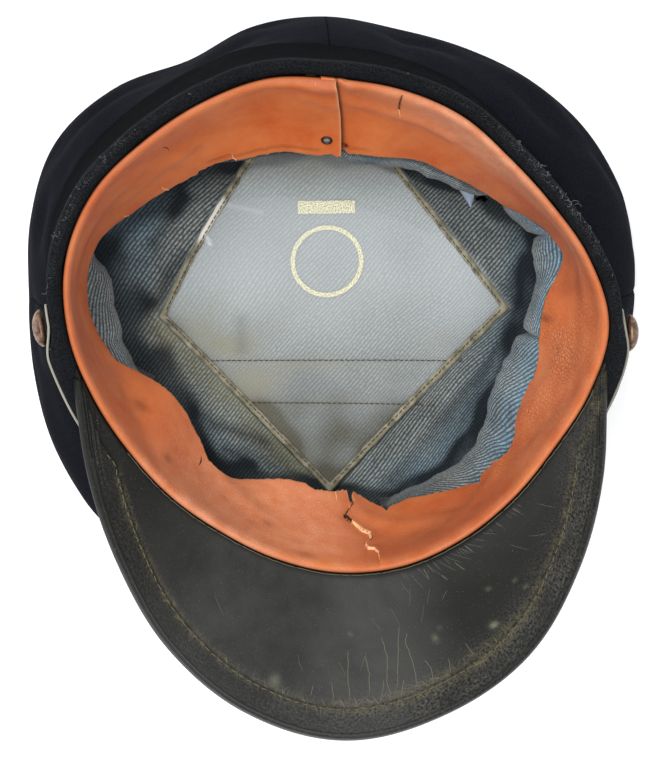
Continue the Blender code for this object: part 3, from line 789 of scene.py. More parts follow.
def sweat_point(s, t):
    angle, share, row = strip_place(s, t)
    inset = LAP_STEP * ease((LAP_SEAM + 20 - angle) / 14)
    curl = LAP_CURL * hill(angle - LAP_SEAM, 3.0) * share**1.3
    # The covered end lies a little deeper, under the end that shows.
    under_lap = ease((angle - 447.5) / 2.5)
    if row < len(FOLD_BACK):
        out, z = FOLD_BACK[row]
        out += 0.25 * under_lap
        return polar(
            angle, rim(angle) + out * MM - inset * 0.1 * row, SWEAT_TOP_Z + (z - 1.6 * under_lap) * MM
        )
    inset -= 1.4 * MM * under_lap * ease((0.3 - share) / 0.3)
    spot = on_strip(angle, share)
    away, side = beside(TEAR_LINE, spot)
    lip = 0.6 * MM * hill(away, 2.6 * MM) * (1 if side > 0 else -0.8)
    groove = 0.35 * MM * hill(beside(CRACK_LINE, spot)[0], 0.6 * MM)
    return leather(angle, share, inset + curl + leather_dents(angle, share) + lip - groove)


def sweat_mask(kind):
    def value(s, t):
        angle, share, row = strip_place(s, t)
        depth = share * SWEAT_WIDTH
        if kind == "worn_and_lit":
            # Rubbed wear with painted light: a painted highlight along the roll, and paler patches at the
            # back right, right, front and left front, where more light falls.
            uneven = 0.6 + 0.6 * waver((angle / RADIAN, 0, 0), 0.1, 3)
            roll = 0.4 * hill(depth - 2.6 * MM, 2.6 * MM) * uneven
            roll += 0.8 * hill(turn_between(angle, 52), 26) * ease((28 * MM - depth) / (14 * MM))
            right = 0.3 * hill(turn_between(angle, 343), 26) * ease(depth / (12 * MM))
            front = 0.5 * hill(turn_between(angle, 266), 16) * ease(depth / (14 * MM))
            return min(1, roll + right + front + 0.62 * hill(turn_between(angle, 236), 24))
        if kind == "wrinkle":
            reach = ease(depth / (9 * MM)) * (0.65 + 0.9 * waver((angle * DEGREE, depth, 0), 0.016, 27))
            drawn = 0.95 * hill(turn_between(angle, 342), 30) + 0.25 * hill(turn_between(angle, 250), 30)
            return min(1, max(0, 0.08 + reach * drawn))
        if kind == "oil_and_shade":
            # Oil stains, and painted shade in the wide faint patches and at the notch at 356.5 degrees.
            return min(1, sum(
                strength * hill(turn_between(angle, a) * DEGREE, w * MM)
                * hill((share - c) * SWEAT_WIDTH, h * 2 * MM) for a, c, w, h, strength in OIL_AND_SHADE_SPOTS
            ))
        if kind == "raw":
            edge = ease(1 - (free_edge(angle) - share) * SWEAT_WIDTH / (0.7 * MM))
            lap = hill((angle - LAP_SEAM - lap_slant(share)) * DEGREE, 0.45 * MM)
            return min(1, 0.5 * edge + (0.7 * lap if angle < 100 else 0))
        # Painted shade beside the lap's end, on the layer that is covered.
        past = (LAP_SEAM + 360 + lap_slant(share) - angle) * DEGREE
        shade = 0.8 * hill(past - 0.1 * MM, (0.5 + 1.1 * share) * MM) if angle > COVERED_FROM else 0
        # A line was pressed beside the free edge at the back, where the strip was trimmed.
        back = ease((angle - 92) / 4) * ease((131 - angle) / 4) + ease((angle - 434) / 6)
        line = 0.45 * min(1, back) * hill((free_edge(angle) - share) * SWEAT_WIDTH - 2.7 * MM, 0.5 * MM)
        hole = hill((on_strip(angle, share) - SMALL_HOLE).length, 0.95 * MM) if angle > COVERED_FROM else 0
        # Painted shade: near black on the rows behind the rim and darker on the roll's outer millimetre; the
        # small hole is painted dark.
        return min(1, shade + hole + line + (0.9 if row < 2 else 0) + 0.3 * ease(1 - depth / MM))

    return value


def in_hole(s, t):
    angle, share, row = strip_place(s, t)
    away, side = beside(TEAR_LINE[1:4], on_strip(angle, share))
    return row >= len(FOLD_BACK) and share > 0.7 and side < 0 and away < 0.55 * MM


strip = laid_grid(
    len(columns) - 1, LEATHER_ROWS + len(FOLD_BACK), sweat_point,
    cloth=lambda s, t: (strip_place(s, t)[0] * DEGREE, strip_place(s, t)[1] * SWEAT_WIDTH),
    masks={kind: sweat_mask(kind) for kind in ("worn_and_lit", "wrinkle", "oil_and_shade", "raw", "shade_and_hole")},
    cut=in_hole,
)
sweatband = keep(
    strip, "sweatband_sheepskin", sheepskin, ["sweatband"], wall=LEATHER_T
)

# %% [markdown]
# The tear, the cracks and the small nicks are too fine for the strip's grid. They could be painted
# on as a mask, but a mask is no sharper than the grid. So each is a sliver that follows the break,
# pale where the raw thickness of the leather shows, and dark as painted shade where the slit stands
# open: a narrow grid along the places of the break, with its own width in millimetres at each of them.

# %% Tear and crack
def sliver(name, material, path, widths):
    """Uneven ribbon from the raised side of a break, its first edge, down to the lower one."""
    spots = [on_strip(*place) for place in path]
    run = [0.0]
    for a, b in zip(spots, spots[1:]):
        run.append(run[-1] + (b - a).length)
    middle = list(zip(run, spots))
    across = list(zip(run, widths))

    def at(far):
        k = next((k for k in range(1, len(middle)) if far <= middle[k][0]), len(middle) - 1)
        (r0, a), (r1, b) = middle[k - 1], middle[k]
        return a.lerp(b, (far - r0) / (r1 - r0))

    def point(s, t):
        far = run[-1] * t
        ahead = at(min(run[-1], far + 0.9 * MM)) - at(max(0, far - 0.9 * MM))
        side = Vector((-ahead.y, ahead.x)).normalized()
        wide = along(across, far) * MM
        spot = at(far) + side * 0.25 * MM * waver((far, 0, 0), 0.0012, 28)
        spot += side * (0.5 - s) * wide * (1 + 0.5 * waver((far, 1.0 * s, 0), 0.0007, 29))
        angle, share = spot.x / DEGREE, spot.y / SWEAT_WIDTH
        torn = hill(beside(TEAR_LINE, spot)[0], 2.6 * MM)
        lip = (0.6 - 0.9 * s) * MM * torn + 0.12 * MM
        return leather(angle, share, leather_dents(angle, share) + lip)

    bm = laid_grid(4, max(6, round(run[-1] / (0.3 * MM))), point)
    keep(bm, name, material, wall=0.15 * MM, offset=0.0)


# The undyed inside of the leather: a pale line in its orange face.
raw_edge = start("raw_leather_edge", Roughness=0.8, Base_Color=tint("e9b784"))[0]
# Painted shade in the depth of an open slit.
slit_shade = start("painted_slit_shade", Roughness=0.9, Base_Color=tint("2a120a"))[0]
sliver("tear_raw_edge", raw_edge, TEAR[3:], (0.5, 1.5, 1.3, 0.7, 0.5, 0.8, 0.5, 0.35, 0.15))
sliver("tear_top_edge", raw_edge, ((277.1, 0.99), TEAR[1]), (1.0, 0.5))
sliver("tear_slit_shade", slit_shade, TEAR[1:4], (0.4, 0.9, 0.3))
sliver("tear_notch", raw_edge, ((271.4, 0.99), (271.6, 0.93), (271.2, 0.88)), (0.5, 0.4, 0.1))
sliver("tear_low_slit_shade", slit_shade, ((279.6, 0.53), (279.5, 0.47), (278.3, 0.42)), (0.1, 0.4, 0.1))
sliver("crack_slit_shade", slit_shade, CRACK[:5], (0.35, 0.3, 0.5, 0.3, 0.5))
sliver("crack_raw_edge", raw_edge, [(a - 0.1, c) for a, c in CRACK[4:]], (0.45, 0.4, 0.15))
sliver("left_front_crack_shade", slit_shade, ((228.4, 0.82), (228.9, 0.77), (228.7, 0.71)), (0.2, 0.5, 0.1))
sliver("left_crack_shade", slit_shade, ((133.6, 0.3), (133.3, 0.38), (133.6, 0.45)), (0.08, 0.2, 0.08))
sliver("left_back_nick", raw_edge, ((143.2, 1.04), (143.6, 0.98), (142.9, 0.92)), (0.7, 0.4, 0.1))
sliver("left_nick", raw_edge, ((155.0, 1.06), (155.4, 1.02), (155.1, 0.97)), (0.5, 0.3, 0.1))
sliver("back_nick", raw_edge, ((121.9, 1.0), (122.3, 0.96), (121.6, 0.90)), (0.7, 0.4, 0.1))

# %% [markdown]
# Beside the lap sits one small eyelet, japanned brown, over a grey cloth backing. It is turned like
# a washer with a rounded face, then laid against the leather, tilted the way the leather leans.

# %% Eyelet
def turned_piece(profile, turn_steps=56):
    """Closed piece from an outline of (radius, height), turned about its axis."""
    bm = bmesh.new()
    points = [bm.verts.new((r, 0, h)) for r, h in profile]
    edges = [bm.edges.new(pair) for pair in zip(points, points[1:])]
    bmesh.ops.spin(
        bm, geom=points + edges, cent=(0, 0, 0), axis=(0, 0, 1), angle=math.tau, steps=turn_steps,
        use_merge=True,
    )
    bmesh.ops.remove_doubles(bm, verts=bm.verts, dist=1e-6)
    bmesh.ops.recalc_face_normals(bm, faces=bm.faces)
    return bm


# Baked varnish: a dark ring with a small glint.
japanned = start("japanned_brown_eyelet", Roughness=0.4, Base_Color=tint("2a1410"))[0]
# Matt cloth that closes the eyelet's hole.
backing = start("grey_backing_cloth", Roughness=0.9, Base_Color=tint("84827c"))[0]
# The eyelet's angle and share of the width, then its outline: radius and height in mm.
EYELET = (92.1, 0.83)
RING = ((1.15, 0.0), (1.25, 0.35), (1.6, 0.5), (1.95, 0.35), (2.1, 0.0), (1.15, 0.0))


def lap_face(angle, share):
    """Point on the lap, whose end curls up a little."""
    curl = LAP_CURL * hill(angle - LAP_SEAM - lap_slant(share), 3.0) * share**1.3
    return leather(angle, share, leather_dents(angle, share) + LAP_STEP + curl)


place, share = EYELET
aside = lap_face(place + 1, share) - lap_face(place - 1, share)
down = lap_face(place, share + 0.04) - lap_face(place, share - 0.04)
facing = aside.cross(down).normalized()
here = lap_face(place, share) + facing * 0.1 * MM
lie = Matrix.Translation(here) @ Vector((0, 0, 1)).rotation_difference(facing).to_matrix().to_4x4()
for name, profile, material in (
    ("eyelet_ring", RING, japanned),
    ("eyelet_backing", ((0.0, 0.18), (1.3, 0.15), (1.3, 0.0), (0.0, 0.0)), backing),
):
    part = turned_piece([(r * MM, h * MM) for r, h in profile], 32)
    bmesh.ops.transform(part, matrix=lie, verts=part.verts)
    keep(part, name, material)
print("eyelet faces", [round(v, 2) for v in facing])

# %% [markdown]
# ## Lining twill
# The lining is a blue cotton twill, faded to grey where light and wear reached it and still bright
# in the folds beside the leather. A twill shows slanting ribs. Here they are a wave across the
# cloth's own coordinates, broken up along their length by the single threads that pass over them.
# An image of the cloth would show its repeats, and it could not follow the folds so closely.

# %% Cotton twill
# Pitch of the ribs, which is three or four pixels of the picture, and the walls of the cloth.
RIB_PITCH = 1.22 * MM
BAG_T, FOLD_T, FLAP_T = 1 * MM, 0.8 * MM, 0.4 * MM


def cotton_twill():
    """Slanting ribs, pale on their backs; a wide fading; olive stains, blue folds, and painted shade in
    folds and hollows with some grime.
    """
    material, tree, shader = start(
        "faded_cotton_twill", Roughness=0.88, Sheen_Weight=0.15, Specular_IOR_Level=0.25
    )
    uv = add(tree, "TexCoord").outputs["UV"]
    turned = add(tree, "Mapping", {"Vector": uv, "Rotation": (0, 0, math.radians(41))})
    slub = add(tree, "TexNoise", {"Vector": uv, "Scale": 1050.0, "Detail": 3.0})
    slub = add(tree, "MapRange", {0: slub, 1: 0.36, 2: 0.64, 3: 0.25, 4: 1.0})
    bent = add(tree, "TexNoise", {"Vector": uv, "Scale": 45.0, "Detail": 0.0})
    sway = add(tree, "Mix", {0: 0.0006, 4: turned, 5: bent.outputs["Color"]}, data_type="VECTOR")
    rib = add(tree, "TexWave", {"Vector": sway, "Scale": 2 * math.pi / (20 * RIB_PITCH)})
    fade = add(tree, "TexNoise", {"Vector": uv, "Scale": 34.0, "Detail": 5.0, "Roughness": 0.6})
    faded = add(tree, "MapRange", {0: fade, 1: 0.34, 2: 0.66})
    back = add(tree, "Mix", {0: faded, 6: tint("737b79"), 7: tint("a6aaa3")}, **MIX)
    gap = add(tree, "Mix", {0: faded, 6: tint("232c30"), 7: tint("424c52")}, **MIX)
    blue = add(tree, "Attribute", attribute_name="blue").outputs["Fac"]
    back = add(tree, "Mix", {0: blue, 6: back, 7: tint("86a4b2")}, **MIX)
    gap = add(tree, "Mix", {0: blue, 6: gap, 7: tint("3a6076")}, **MIX)
    raised = add(tree, "Math", {0: rib.outputs["Fac"], 1: slub}, operation="MULTIPLY")
    raised = add(tree, "MapRange", {0: raised, 1: 0.04, 2: 0.74})
    cloth = add(tree, "Mix", {0: raised, 6: gap, 7: back}, **MIX)
    clean = add(tree, "Attribute", attribute_name="clean").outputs["Fac"]
    pale = add(tree, "Mix", {0: raised, 6: tint("9aa4a5"), 7: tint("c2c9c7")}, **MIX)
    cloth = add(tree, "Mix", {0: clean, 6: cloth, 7: pale}, **MIX)
    # Olive stains, with painted shade at the shield's back among them; then painted shade in folds and
    # hollows, with some grime.
    for mark, colour in (("stain_and_shade", "807a52"), ("shade_and_grime", "0a141b")):
        marked = add(tree, "Attribute", attribute_name=mark).outputs["Fac"]
        cloth = add(tree, "Mix", {0: marked, 6: cloth, 7: tint(colour)}, **MIX)
    tree.links.new(cloth.outputs[2], shader.inputs["Base Color"])
    relief = add(tree, "Bump", {"Height": raised, "Strength": 0.6, "Distance": 0.0003})
    tree.links.new(relief.outputs[0], shader.inputs["Normal"])
    return material


twill = cotton_twill()

# %% [markdown]
# The lining's bag lies on the crown and climbs behind the leather. It is far too big for the cap,
# so it creases. The creases are lines on the plan, in millimetres about the head's centre, each
# with a width and a height: ridges stand up from the floor and valleys are pressed into it.

# %% Lining bag
FLOOR_CREASES = (
    # height and half width in mm, then points of the line
    (-0.9, 3.5, ((-44, -62), (-31, -62), (-23, -66), (-16, -73))),
    (-0.9, 4.0, ((-59, -32), (-50, -45), (-40, -53))),
    (3.4, 4.5, ((14, -77), (28, -63), (39, -50), (49, -37), (57, -25), (64, -14))),
    (-1.0, 3.4, ((36, -72), (45, -66), (49, -58), (54, -45), (61, -31), (67, -18), (72, -5), (73, 12))),
    (2.6, 5.0, ((-40, -57), (-24, -57), (-9, -69))),
    (2.2, 4.0, ((-64, -20), (-58, -38), (-48, -52))),
    (2.4, 5.0, ((-66, 20), (-62, 2), (-62, -16))),
    (2.0, 4.5, ((58, 8), (66, 0), (70, -12))),
    (2.6, 5.5, ((44, 46), (56, 34), (64, 18))),
    (-1.0, 4.0, ((-52, 40), (-58, 24), (-72, 12))),
    (1.8, 4.0, ((-44, 44), (-54, 30), (-70, 24))),
)
FLOOR_LINES = [([Vector(p) * MM for p in line], w * MM, h * MM) for h, w, line in FLOOR_CREASES]
TORN = [Vector(p) * MM for p in ((57.2, 36.6), (55.0, 32.6), (60.2, 32.2))]
SHADED_FOLDS = (
    # strength, half width in mm, points of the line: painted shade along the valley of a fold
    (0.34, 2.0, ((36, -72), (45, -66), (49, -58), (54, -45), (61, -31), (67, -18), (72, -5), (73, 12))),
    (0.5, 2.4, ((-50, 34), (-58, 24), (-63, 18))), (0.55, 3.0, ((-61, -4), (-56, 8), (-52, 12))),
    (0.5, 2.0, ((-48, -45), (-42, -50), (-33, -53), (-22, -58))), (0.45, 1.7, ((-37, -59), (-26, -65))),
    (0.35, 3.0, ((48, 22), (54, 14))), (0.3, 3.0, ((40, 40), (50, 30))),
    (0.65, 3.2, ((-34, 46), (-12, 51), (10, 52), (34, 47))),
)
FOLD_SHADE_LINES = [(k, w * MM, [Vector(p) * MM for p in line]) for k, w, line in SHADED_FOLDS]
STAINS_AND_SHADE = (
    # plan place, half width and half height in mm, strength: stains that show through the shield, and
    # painted shade
    (-48, -16, 8, 6, 0.95), (-33, -22, 9, 4, 1.1), (-23, -34, 11, 5, 0.9), (-40, -9, 6, 7, 0.5),
    (-4, -29, 14, 3, 0.4), (22, -34, 13, 5, 0.2), (42, -20, 6, 5, 0.45), (-30, -38, 9, 5, 0.7),
    # (0, 47) is painted shade at the back, where the leather and the back fold overhang the cloth.
    (0, 47, 36, 7, 0.6), (2, -10, 40, 10, 0.12), (5, -28.5, 36, 2.2, 0.4), (5, -43.5, 26, 2.2, 0.35),
    (-26, -17, 8, 5, 0.4),
)
DEEP_SHADE = (
    # angle, share of the cloth at which the bag goes out of sight behind the leather, width of painted shade
    (0, 0.625, 0.10), (12, 0.658, 0.10), (18, 0.69, 0.10), (30, 0.608, 0.05), (42, 0.517, 0.03),
    (60, 0.46, 0.04), (90, 0.44, 0.055), (120, 0.47, 0.065), (132, 0.50, 0.09), (144, 0.525, 0.09),
    (156, 0.575, 0.10), (168, 0.66, 0.16), (180, 0.633, 0.13), (192, 0.642, 0.14), (204, 0.65, 0.12),
    (222, 0.62, 0.07), (240, 0.725, 0.09), (252, 0.675, 0.06), (264, 0.642, 0.03), (276, 0.66, 0.03),
    (288, 0.725, 0.05), (306, 0.70, 0.03), (318, 0.667, 0.03), (336, 0.625, 0.05), (348, 0.617, 0.10),
    (360, 0.625, 0.10),
)

# %% [markdown]
# The bag's plain form is a bowl with a flat floor and steep sides. Cloth coordinates need lengths
# measured along it, so one profile is measured once and read back from a table.

# %% Bowl and the shield's plan
SHIELD_HALF = 60 * MM
CORNERS = {
    name: Vector(share) * SHIELD_HALF
    for name, share in (("left", (-1.025, -0.165)), ("front", (0.027, -1.297)),
                        ("right", (1.157, -0.135)), ("back", (-0.10, 1.40)))
}


def inside_shield(flat):
    """Metres from a plane point to the nearest side of the lozenge, negative outside it."""
    names = ("left", "front", "right", "back", "left")
    return min(
        (CORNERS[b] - CORNERS[a]).normalized().cross(flat - CORNERS[a]) for a, b in zip(names, names[1:])
    )


def bowl(angle, ratio):
    ratio = min(1, ratio)
    z = LINING_FLOOR + BOWL_DEPTH * (1 - (1 - ratio**BOWL_POWER) ** (1 / BOWL_POWER))
    return polar(angle, (rim(angle) + LINING_OUT) * ratio, z)


def under(x, y):
    angle = math.degrees(math.atan2(y, x))
    return bowl(angle, math.hypot(x, y) / (rim(angle) + LINING_OUT))


def over_lining(x, y, lift):
    d = 1 * MM
    normal = (under(x + d, y) - under(x - d, y)).cross(under(x, y + d) - under(x, y - d))
    return under(x, y) + normal.normalized() * lift


PROFILE_STEPS, BAG_COLUMNS, BAG_ROWS = 200, 288, 120
profile = [bowl(45, k / PROFILE_STEPS) for k in range(PROFILE_STEPS + 1)]
RUN = [0.0]
for a, b in zip(profile, profile[1:]):
    RUN.append(RUN[-1] + (b - a).length)
print(f"lining: {RUN[-1] * 1000:.0f} mm of cloth from the crown's middle to the rim")


def ratio_at(t):
    """Share of the bowl's radius whose cloth length is the share t of the whole."""
    want = t * RUN[-1]
    k = next((k for k in range(1, PROFILE_STEPS + 1) if RUN[k] >= want), PROFILE_STEPS)
    return (k - 1 + (want - RUN[k - 1]) / (RUN[k] - RUN[k - 1])) / PROFILE_STEPS


RATIOS = {round(k / BAG_ROWS, 6): ratio_at(k / BAG_ROWS) for k in range(BAG_ROWS + 1)}

# %% [markdown]
# The creases are added to the bowl, except where the shield holds the cloth flat. A simulation
# would find folds of its own, but not the ones in the photograph, so they are placed.

# %% Bag
def bag_point(s, t):
    angle = 360 * s
    if t == 1:
        return polar(angle, rim(angle) + LINING_OUT, LINING_TOP_Z)
    spot = bowl(angle, RATIOS[t])
    flat = Vector((spot.x, spot.y))
    free = ease((flat.length - 30 * MM) / (26 * MM)) * ease((0.98 - t) / 0.3)
    lift = 0.0
    for line, width, height in FLOOR_LINES:
        lift += height * hill(beside(line, flat)[0], width)
    lift += free * MM * (0.9 * waver(spot, 0.016, 11) + 0.45 * waver(spot, 0.007, 12) + 0.5)
    # Under the shield and its tape the cloth is held flat.
    lift *= ease((-2.5 * MM - inside_shield(flat)) / (4 * MM))
    lift += 0.12 * MM * waver(spot, 0.006, 13)
    inward = Vector((-spot.x, -spot.y, 0)).normalized() * ease((spot.z - 6 * MM) / (14 * MM))
    side = (inward + Vector((0, 0, 1 - ease((spot.z - 6 * MM) / (14 * MM))))).normalized()
    return spot + side * max(-0.35 * MM, lift * ease((0.98 - t) / 0.2))


def bag_cloth(s, t):
    # At the front right the slack cloth is crowded, so its ribs lie closer together.
    crowd = 0.3 * max(0, t - 0.38) * hill(turn_between(360 * s, 325), 42)
    reach = RUN[-1] * (t + crowd)
    return (reach * math.cos(math.tau * s), reach * math.sin(math.tau * s))


def bag_mask(kind):
    def value(s, t):
        spot = bowl(360 * s, RATIOS[t])
        flat = Vector((spot.x, spot.y))
        if kind == "clean":
            paler = 0.2 + 0.8 * ease((flat.y + 38 * MM) / (46 * MM))
            paler *= 1 - 0.6 * ease((flat.y - 40 * MM) / (10 * MM))
            return paler * ease(inside_shield(flat) / (3 * MM) + 0.6) * (0.85 + 0.3 * waver(spot, 0.02, 16))
        if kind == "blue":
            worn = 0.4 * ease((t - 0.56) / 0.1) * (0.6 + 0.4 * waver(spot, 0.02, 14))
            worn += 0.45 * ease((t - 0.46) / 0.08) * hill(turn_between(360 * s, 158), 20)
            worn += 0.25 * hill(beside(FOLD_SHADE_LINES[0][2], flat)[0], 7 * MM)
            return worn + 0.14 * ease(waver(spot, 0.03, 17))
        if kind == "stain_and_shade":
            left = 0.5 * hill(beside([Vector((-0.056, -0.011)), Vector((0.002, -0.077))], flat)[0], 9 * MM)
            yellow = sum(
                k * hill((flat.x - x * MM) / (w * MM), 1) * hill((flat.y - y * MM) / (h * MM), 1)
                for x, y, w, h, k in STAINS_AND_SHADE
            )
            return min(0.9, (left + yellow) * (0.65 + 0.5 * waver(spot, 0.012, 15)))
        # Painted shade: along fold valleys, in uneven patches towards the sides, and where the bag goes out
        # of sight behind the leather.
        dark = sum(k * hill(beside(line, flat)[0], width) for k, width, line in FOLD_SHADE_LINES)
        dark += 0.4 * hill(beside([Vector((-0.0305, -0.012)), Vector((-0.0305, -0.023))], flat)[0], 2.6 * MM)
        dark += 0.25 * ease(waver(spot, 0.016, 18)) * ease((flat.length - 40 * MM) / (12 * MM))
        limit, width = (along([(row[0], row[k]) for row in DEEP_SHADE], 360 * s) for k in (1, 2))
        uneven = 1 + 0.55 * waver(spot, 0.012, 19)
        patchy = 0.86 + 0.3 * waver(spot, 0.014, 26)
        dark += patchy * ease((t - limit + width * uneven) / (0.7 * width))
        return min(0.95, dark)

    return value


def torn_through(s, t):
    """A small three-cornered hole that wore through beside the shield."""
    spot = bowl(360 * s, ratio_at(t))
    sides = [(b - a).cross(Vector((spot.x, spot.y)) - a) > 0 for a, b in zip(TORN, TORN[1:] + TORN[:1])]
    return all(sides) or not any(sides)


bag = laid_grid(
    BAG_COLUMNS, BAG_ROWS, bag_point, cloth=bag_cloth, cut=torn_through,
    masks={kind: bag_mask(kind) for kind in ("blue", "stain_and_shade", "shade_and_grime", "clean")},
)
lining = keep(bag, "lining_twill_bag", twill, ["lining"], wall=BAG_T, offset=0.0)

# %% [markdown]
# Beside the leather the slack cloth folds over on itself and hangs into the opening, in long
# pillows: three down the right side, one at the left and one across the back. Each is a strip from
# behind the leather, under its free edge, out over the opening and back in again. Its overhang is
# read from the photo.

# %% Folds of the lining
OVERHANG = {
    # turn of the ribs in degrees, then (angle, mm that the cloth hangs in) from end to end
    "right_low": (72, (
        (284, -3), (288, 1.2), (295, 2.4), (301, 4.6), (308, 7.4), (316, 7.6), (321, 10.6), (328, 10.6),
        (335, 10.4), (341, 10.4), (346, 9.0), (349, 7.4), (350.3, 4.0), (351.4, -2),
    )),
    "right_middle": (60, (
        (349.4, -3), (350.6, 2.2), (352, 4.6), (355, 4.6), (360, 3.6), (366, 5.6), (371, 8.9), (374, 8.4),
        (376.2, 6.0), (377.3, 0.5), (378, -3),
    )),
    "right_top": (46, ((376.2, -3), (377.4, 3.6), (379, 5.2), (384, 3.2), (388, 1.0), (392, -3))),
    "left": (64, (
        (164, -3), (168, 0.6), (170, 5.0), (173, 8.1), (178, 9.0), (184, 8.3), (190, 5.5), (195, 2.3),
        (199, -1), (204, -3),
    )),
    "back": (-12, (
        (32, -3), (36, 2.2), (38, 3.2), (43, 3.8), (53, 4.6), (64, 4.2), (79, 3.2), (92, 2.2), (111, 1.4),
        (122, 0.8), (128, -1), (134, -3),
    )),
}
# share of the overhang inwards, mm down from the leather's free edge
UNDER_FOLD = ((0.4, 1.2), (0.86, 2.6), (1.0, 4.6), (0.86, 7.2), (0.4, 9.4), (0.0, 11.5))


def hem(angle):
    """The free edge's share of the leather's width, without its small tears."""
    return sum(free_edge(angle + 1.5 * k) for k in range(-3, 4)) / 7


def fold_section(rows, angle):
    """Points across the fold at one angle, from behind the leather to the bag."""
    reach = along(rows, angle) * MM
    reach += 0.7 * MM * waver((angle / RADIAN, 0, 0), 0.06, 21) * ease(reach / (3 * MM))
    rim_share = hem(angle)
    points = [
        leather(angle, rim_share - up, leather_dents(angle, rim_share - up) - back * MM)
        for up, back in ((0.42, 4.6), (0.25, 4.2), (0.11, 3.8), (0.02, 3.2))
    ]
    edge = leather(angle, rim_share, leather_dents(angle, rim_share))
    for share, down in UNDER_FOLD:
        points.append(edge - polar(angle, reach * share - (1 - share) * 1.2 * MM, down * MM))
    points.append(edge + polar(angle, 4 * MM, -13 * MM))
    return points


def fold_place(rows):
    first, last = rows[0][0], rows[-1][0]

    def place(s, t):
        angle = first + (last - first) * s
        points = fold_section(rows, angle)
        where = t * (len(points) - 1)
        i = min(len(points) - 2, int(where))
        a, b, c, d = (points[min(len(points) - 1, max(0, i + k))] for k in (-1, 0, 1, 2))
        spot = curve_at(a, b, c, d, where - i)
        along_fold = (angle / RADIAN, 0.3 * t, 0)
        pucker = waver(along_fold, 0.13, 22) + 0.3 * waver(along_fold, 0.06, 23)
        loose = ease((t - 0.28) / 0.15)
        out = polar(angle, 1, 0)
        return spot + (Vector((0, 0, 0.5)) - out) * pucker * 0.9 * MM * loose

    return place


CROWDED = 1.4


def fold_cloth(rows, turned):
    first, last = rows[0][0], rows[-1][0]
    c, s1 = math.cos(math.radians(turned)), math.sin(math.radians(turned))
    # The back fold hangs in only a little, so less cloth is on show there.
    deep = (0.022 if turned < 0 else 0.042) * CROWDED

    def cloth(s, t):
        # The gathered cloth is crowded, which brings its ribs closer together.
        u, v = (first + (last - first) * s) * DEGREE * 0.86 * CROWDED, t * deep
        return (u * c - v * s1, u * s1 + v * c)

    return cloth


def fold_mask(kind, side, rows):
    def value(s, t):
        spot = (s, 3 * t, 0)
        angle = rows[0][0] + (rows[-1][0] - rows[0][0]) * s
        if kind == "blue":
            strength = {"left": 0.3, "back": 0.5}.get(side, 1.0)
            if side == "right_low":
                strength = 0.3 + 0.7 * ease((angle - 304) / 20)
            return strength * (0.2 + ease((0.5 - t) / 0.16) * (0.5 + 0.6 * waver(spot, 0.1, 24)))
        # Painted shade: near black where the cloth turns under, at each pillow's ends and along the back.
        underside_shade = 0.95 * ease((t - (0.54 if side == "back" else 0.6)) / 0.12)
        end_shade = 0.8 * (1 - ease(min(s, 1 - s) / 0.035))
        if side == "back":
            end_shade += 0.05 + 0.55 * ease((angle - 88) / 8) + 0.6 * ease((0.43 - t) / 0.04)
        if side == "left":
            end_shade += 0.25
        if side == "right_low":
            end_shade += 0.3 * ease((320 - angle) / 22)
        return min(0.95, underside_shade + end_shade + 0.35 * ease(waver(spot, 0.12, 25)))

    return value


for side, (turned, rows) in OVERHANG.items():
    run = abs(rows[-1][0] - rows[0][0])
    pillow = laid_grid(
        round(run * 2.2), 44, fold_place(rows), cloth=fold_cloth(rows, turned),
        masks={kind: fold_mask(kind, side, rows) for kind in ("blue", "shade_and_grime")},
    )
    pillow = keep(pillow, f"lining_fold_{side}", twill, wall=FOLD_T, offset=0.0)

# %% [markdown]
# At the torn hole a three-cornered flap of the cloth has turned over and shows its clean pale back.

# %% Torn flap
FLAP = [Vector(p) * MM for p in ((48.6, 38.4), (56.4, 38.0), (54.2, 30.4))]


def flap_point(s, t):
    tip = FLAP[0].lerp(FLAP[1], s)
    p = tip.lerp(FLAP[2], t * 0.96)
    return over_lining(p.x, p.y, (2.3 + 1.1 * math.sin(math.pi * s) + 0.8 * t) * MM)


# The unfaded back of the cloth: one small pale corner in the grey.
clean_twill = start("pale_back_of_twill", Roughness=0.9, Base_Color=tint("9fb0c4"))[0]
flap = laid_grid(8, 8, flap_point)
keep(flap, "lining_torn_flap", clean_twill, wall=FLAP_T, offset=0.0)

# %% [markdown]
# ## Clear sweat shield
# The lozenge over the lining is a sheet of clear celluloid with a folded tape sewn round it. Old
# celluloid is slightly cloudy and yellows along its seams. A mixed shader shows the cloth through
# it: most of the light passes straight on, and the rest meets a thin blue-grey haze with a gloss.

# %% Cloudy celluloid
RING_AT, RING_R = (1.2 * MM, 9.8 * MM), 12.6 * MM
BAR_AT, BAR_HALF = (1.0 * MM, 30.0 * MM), (10.5 * MM, 2.4 * MM)


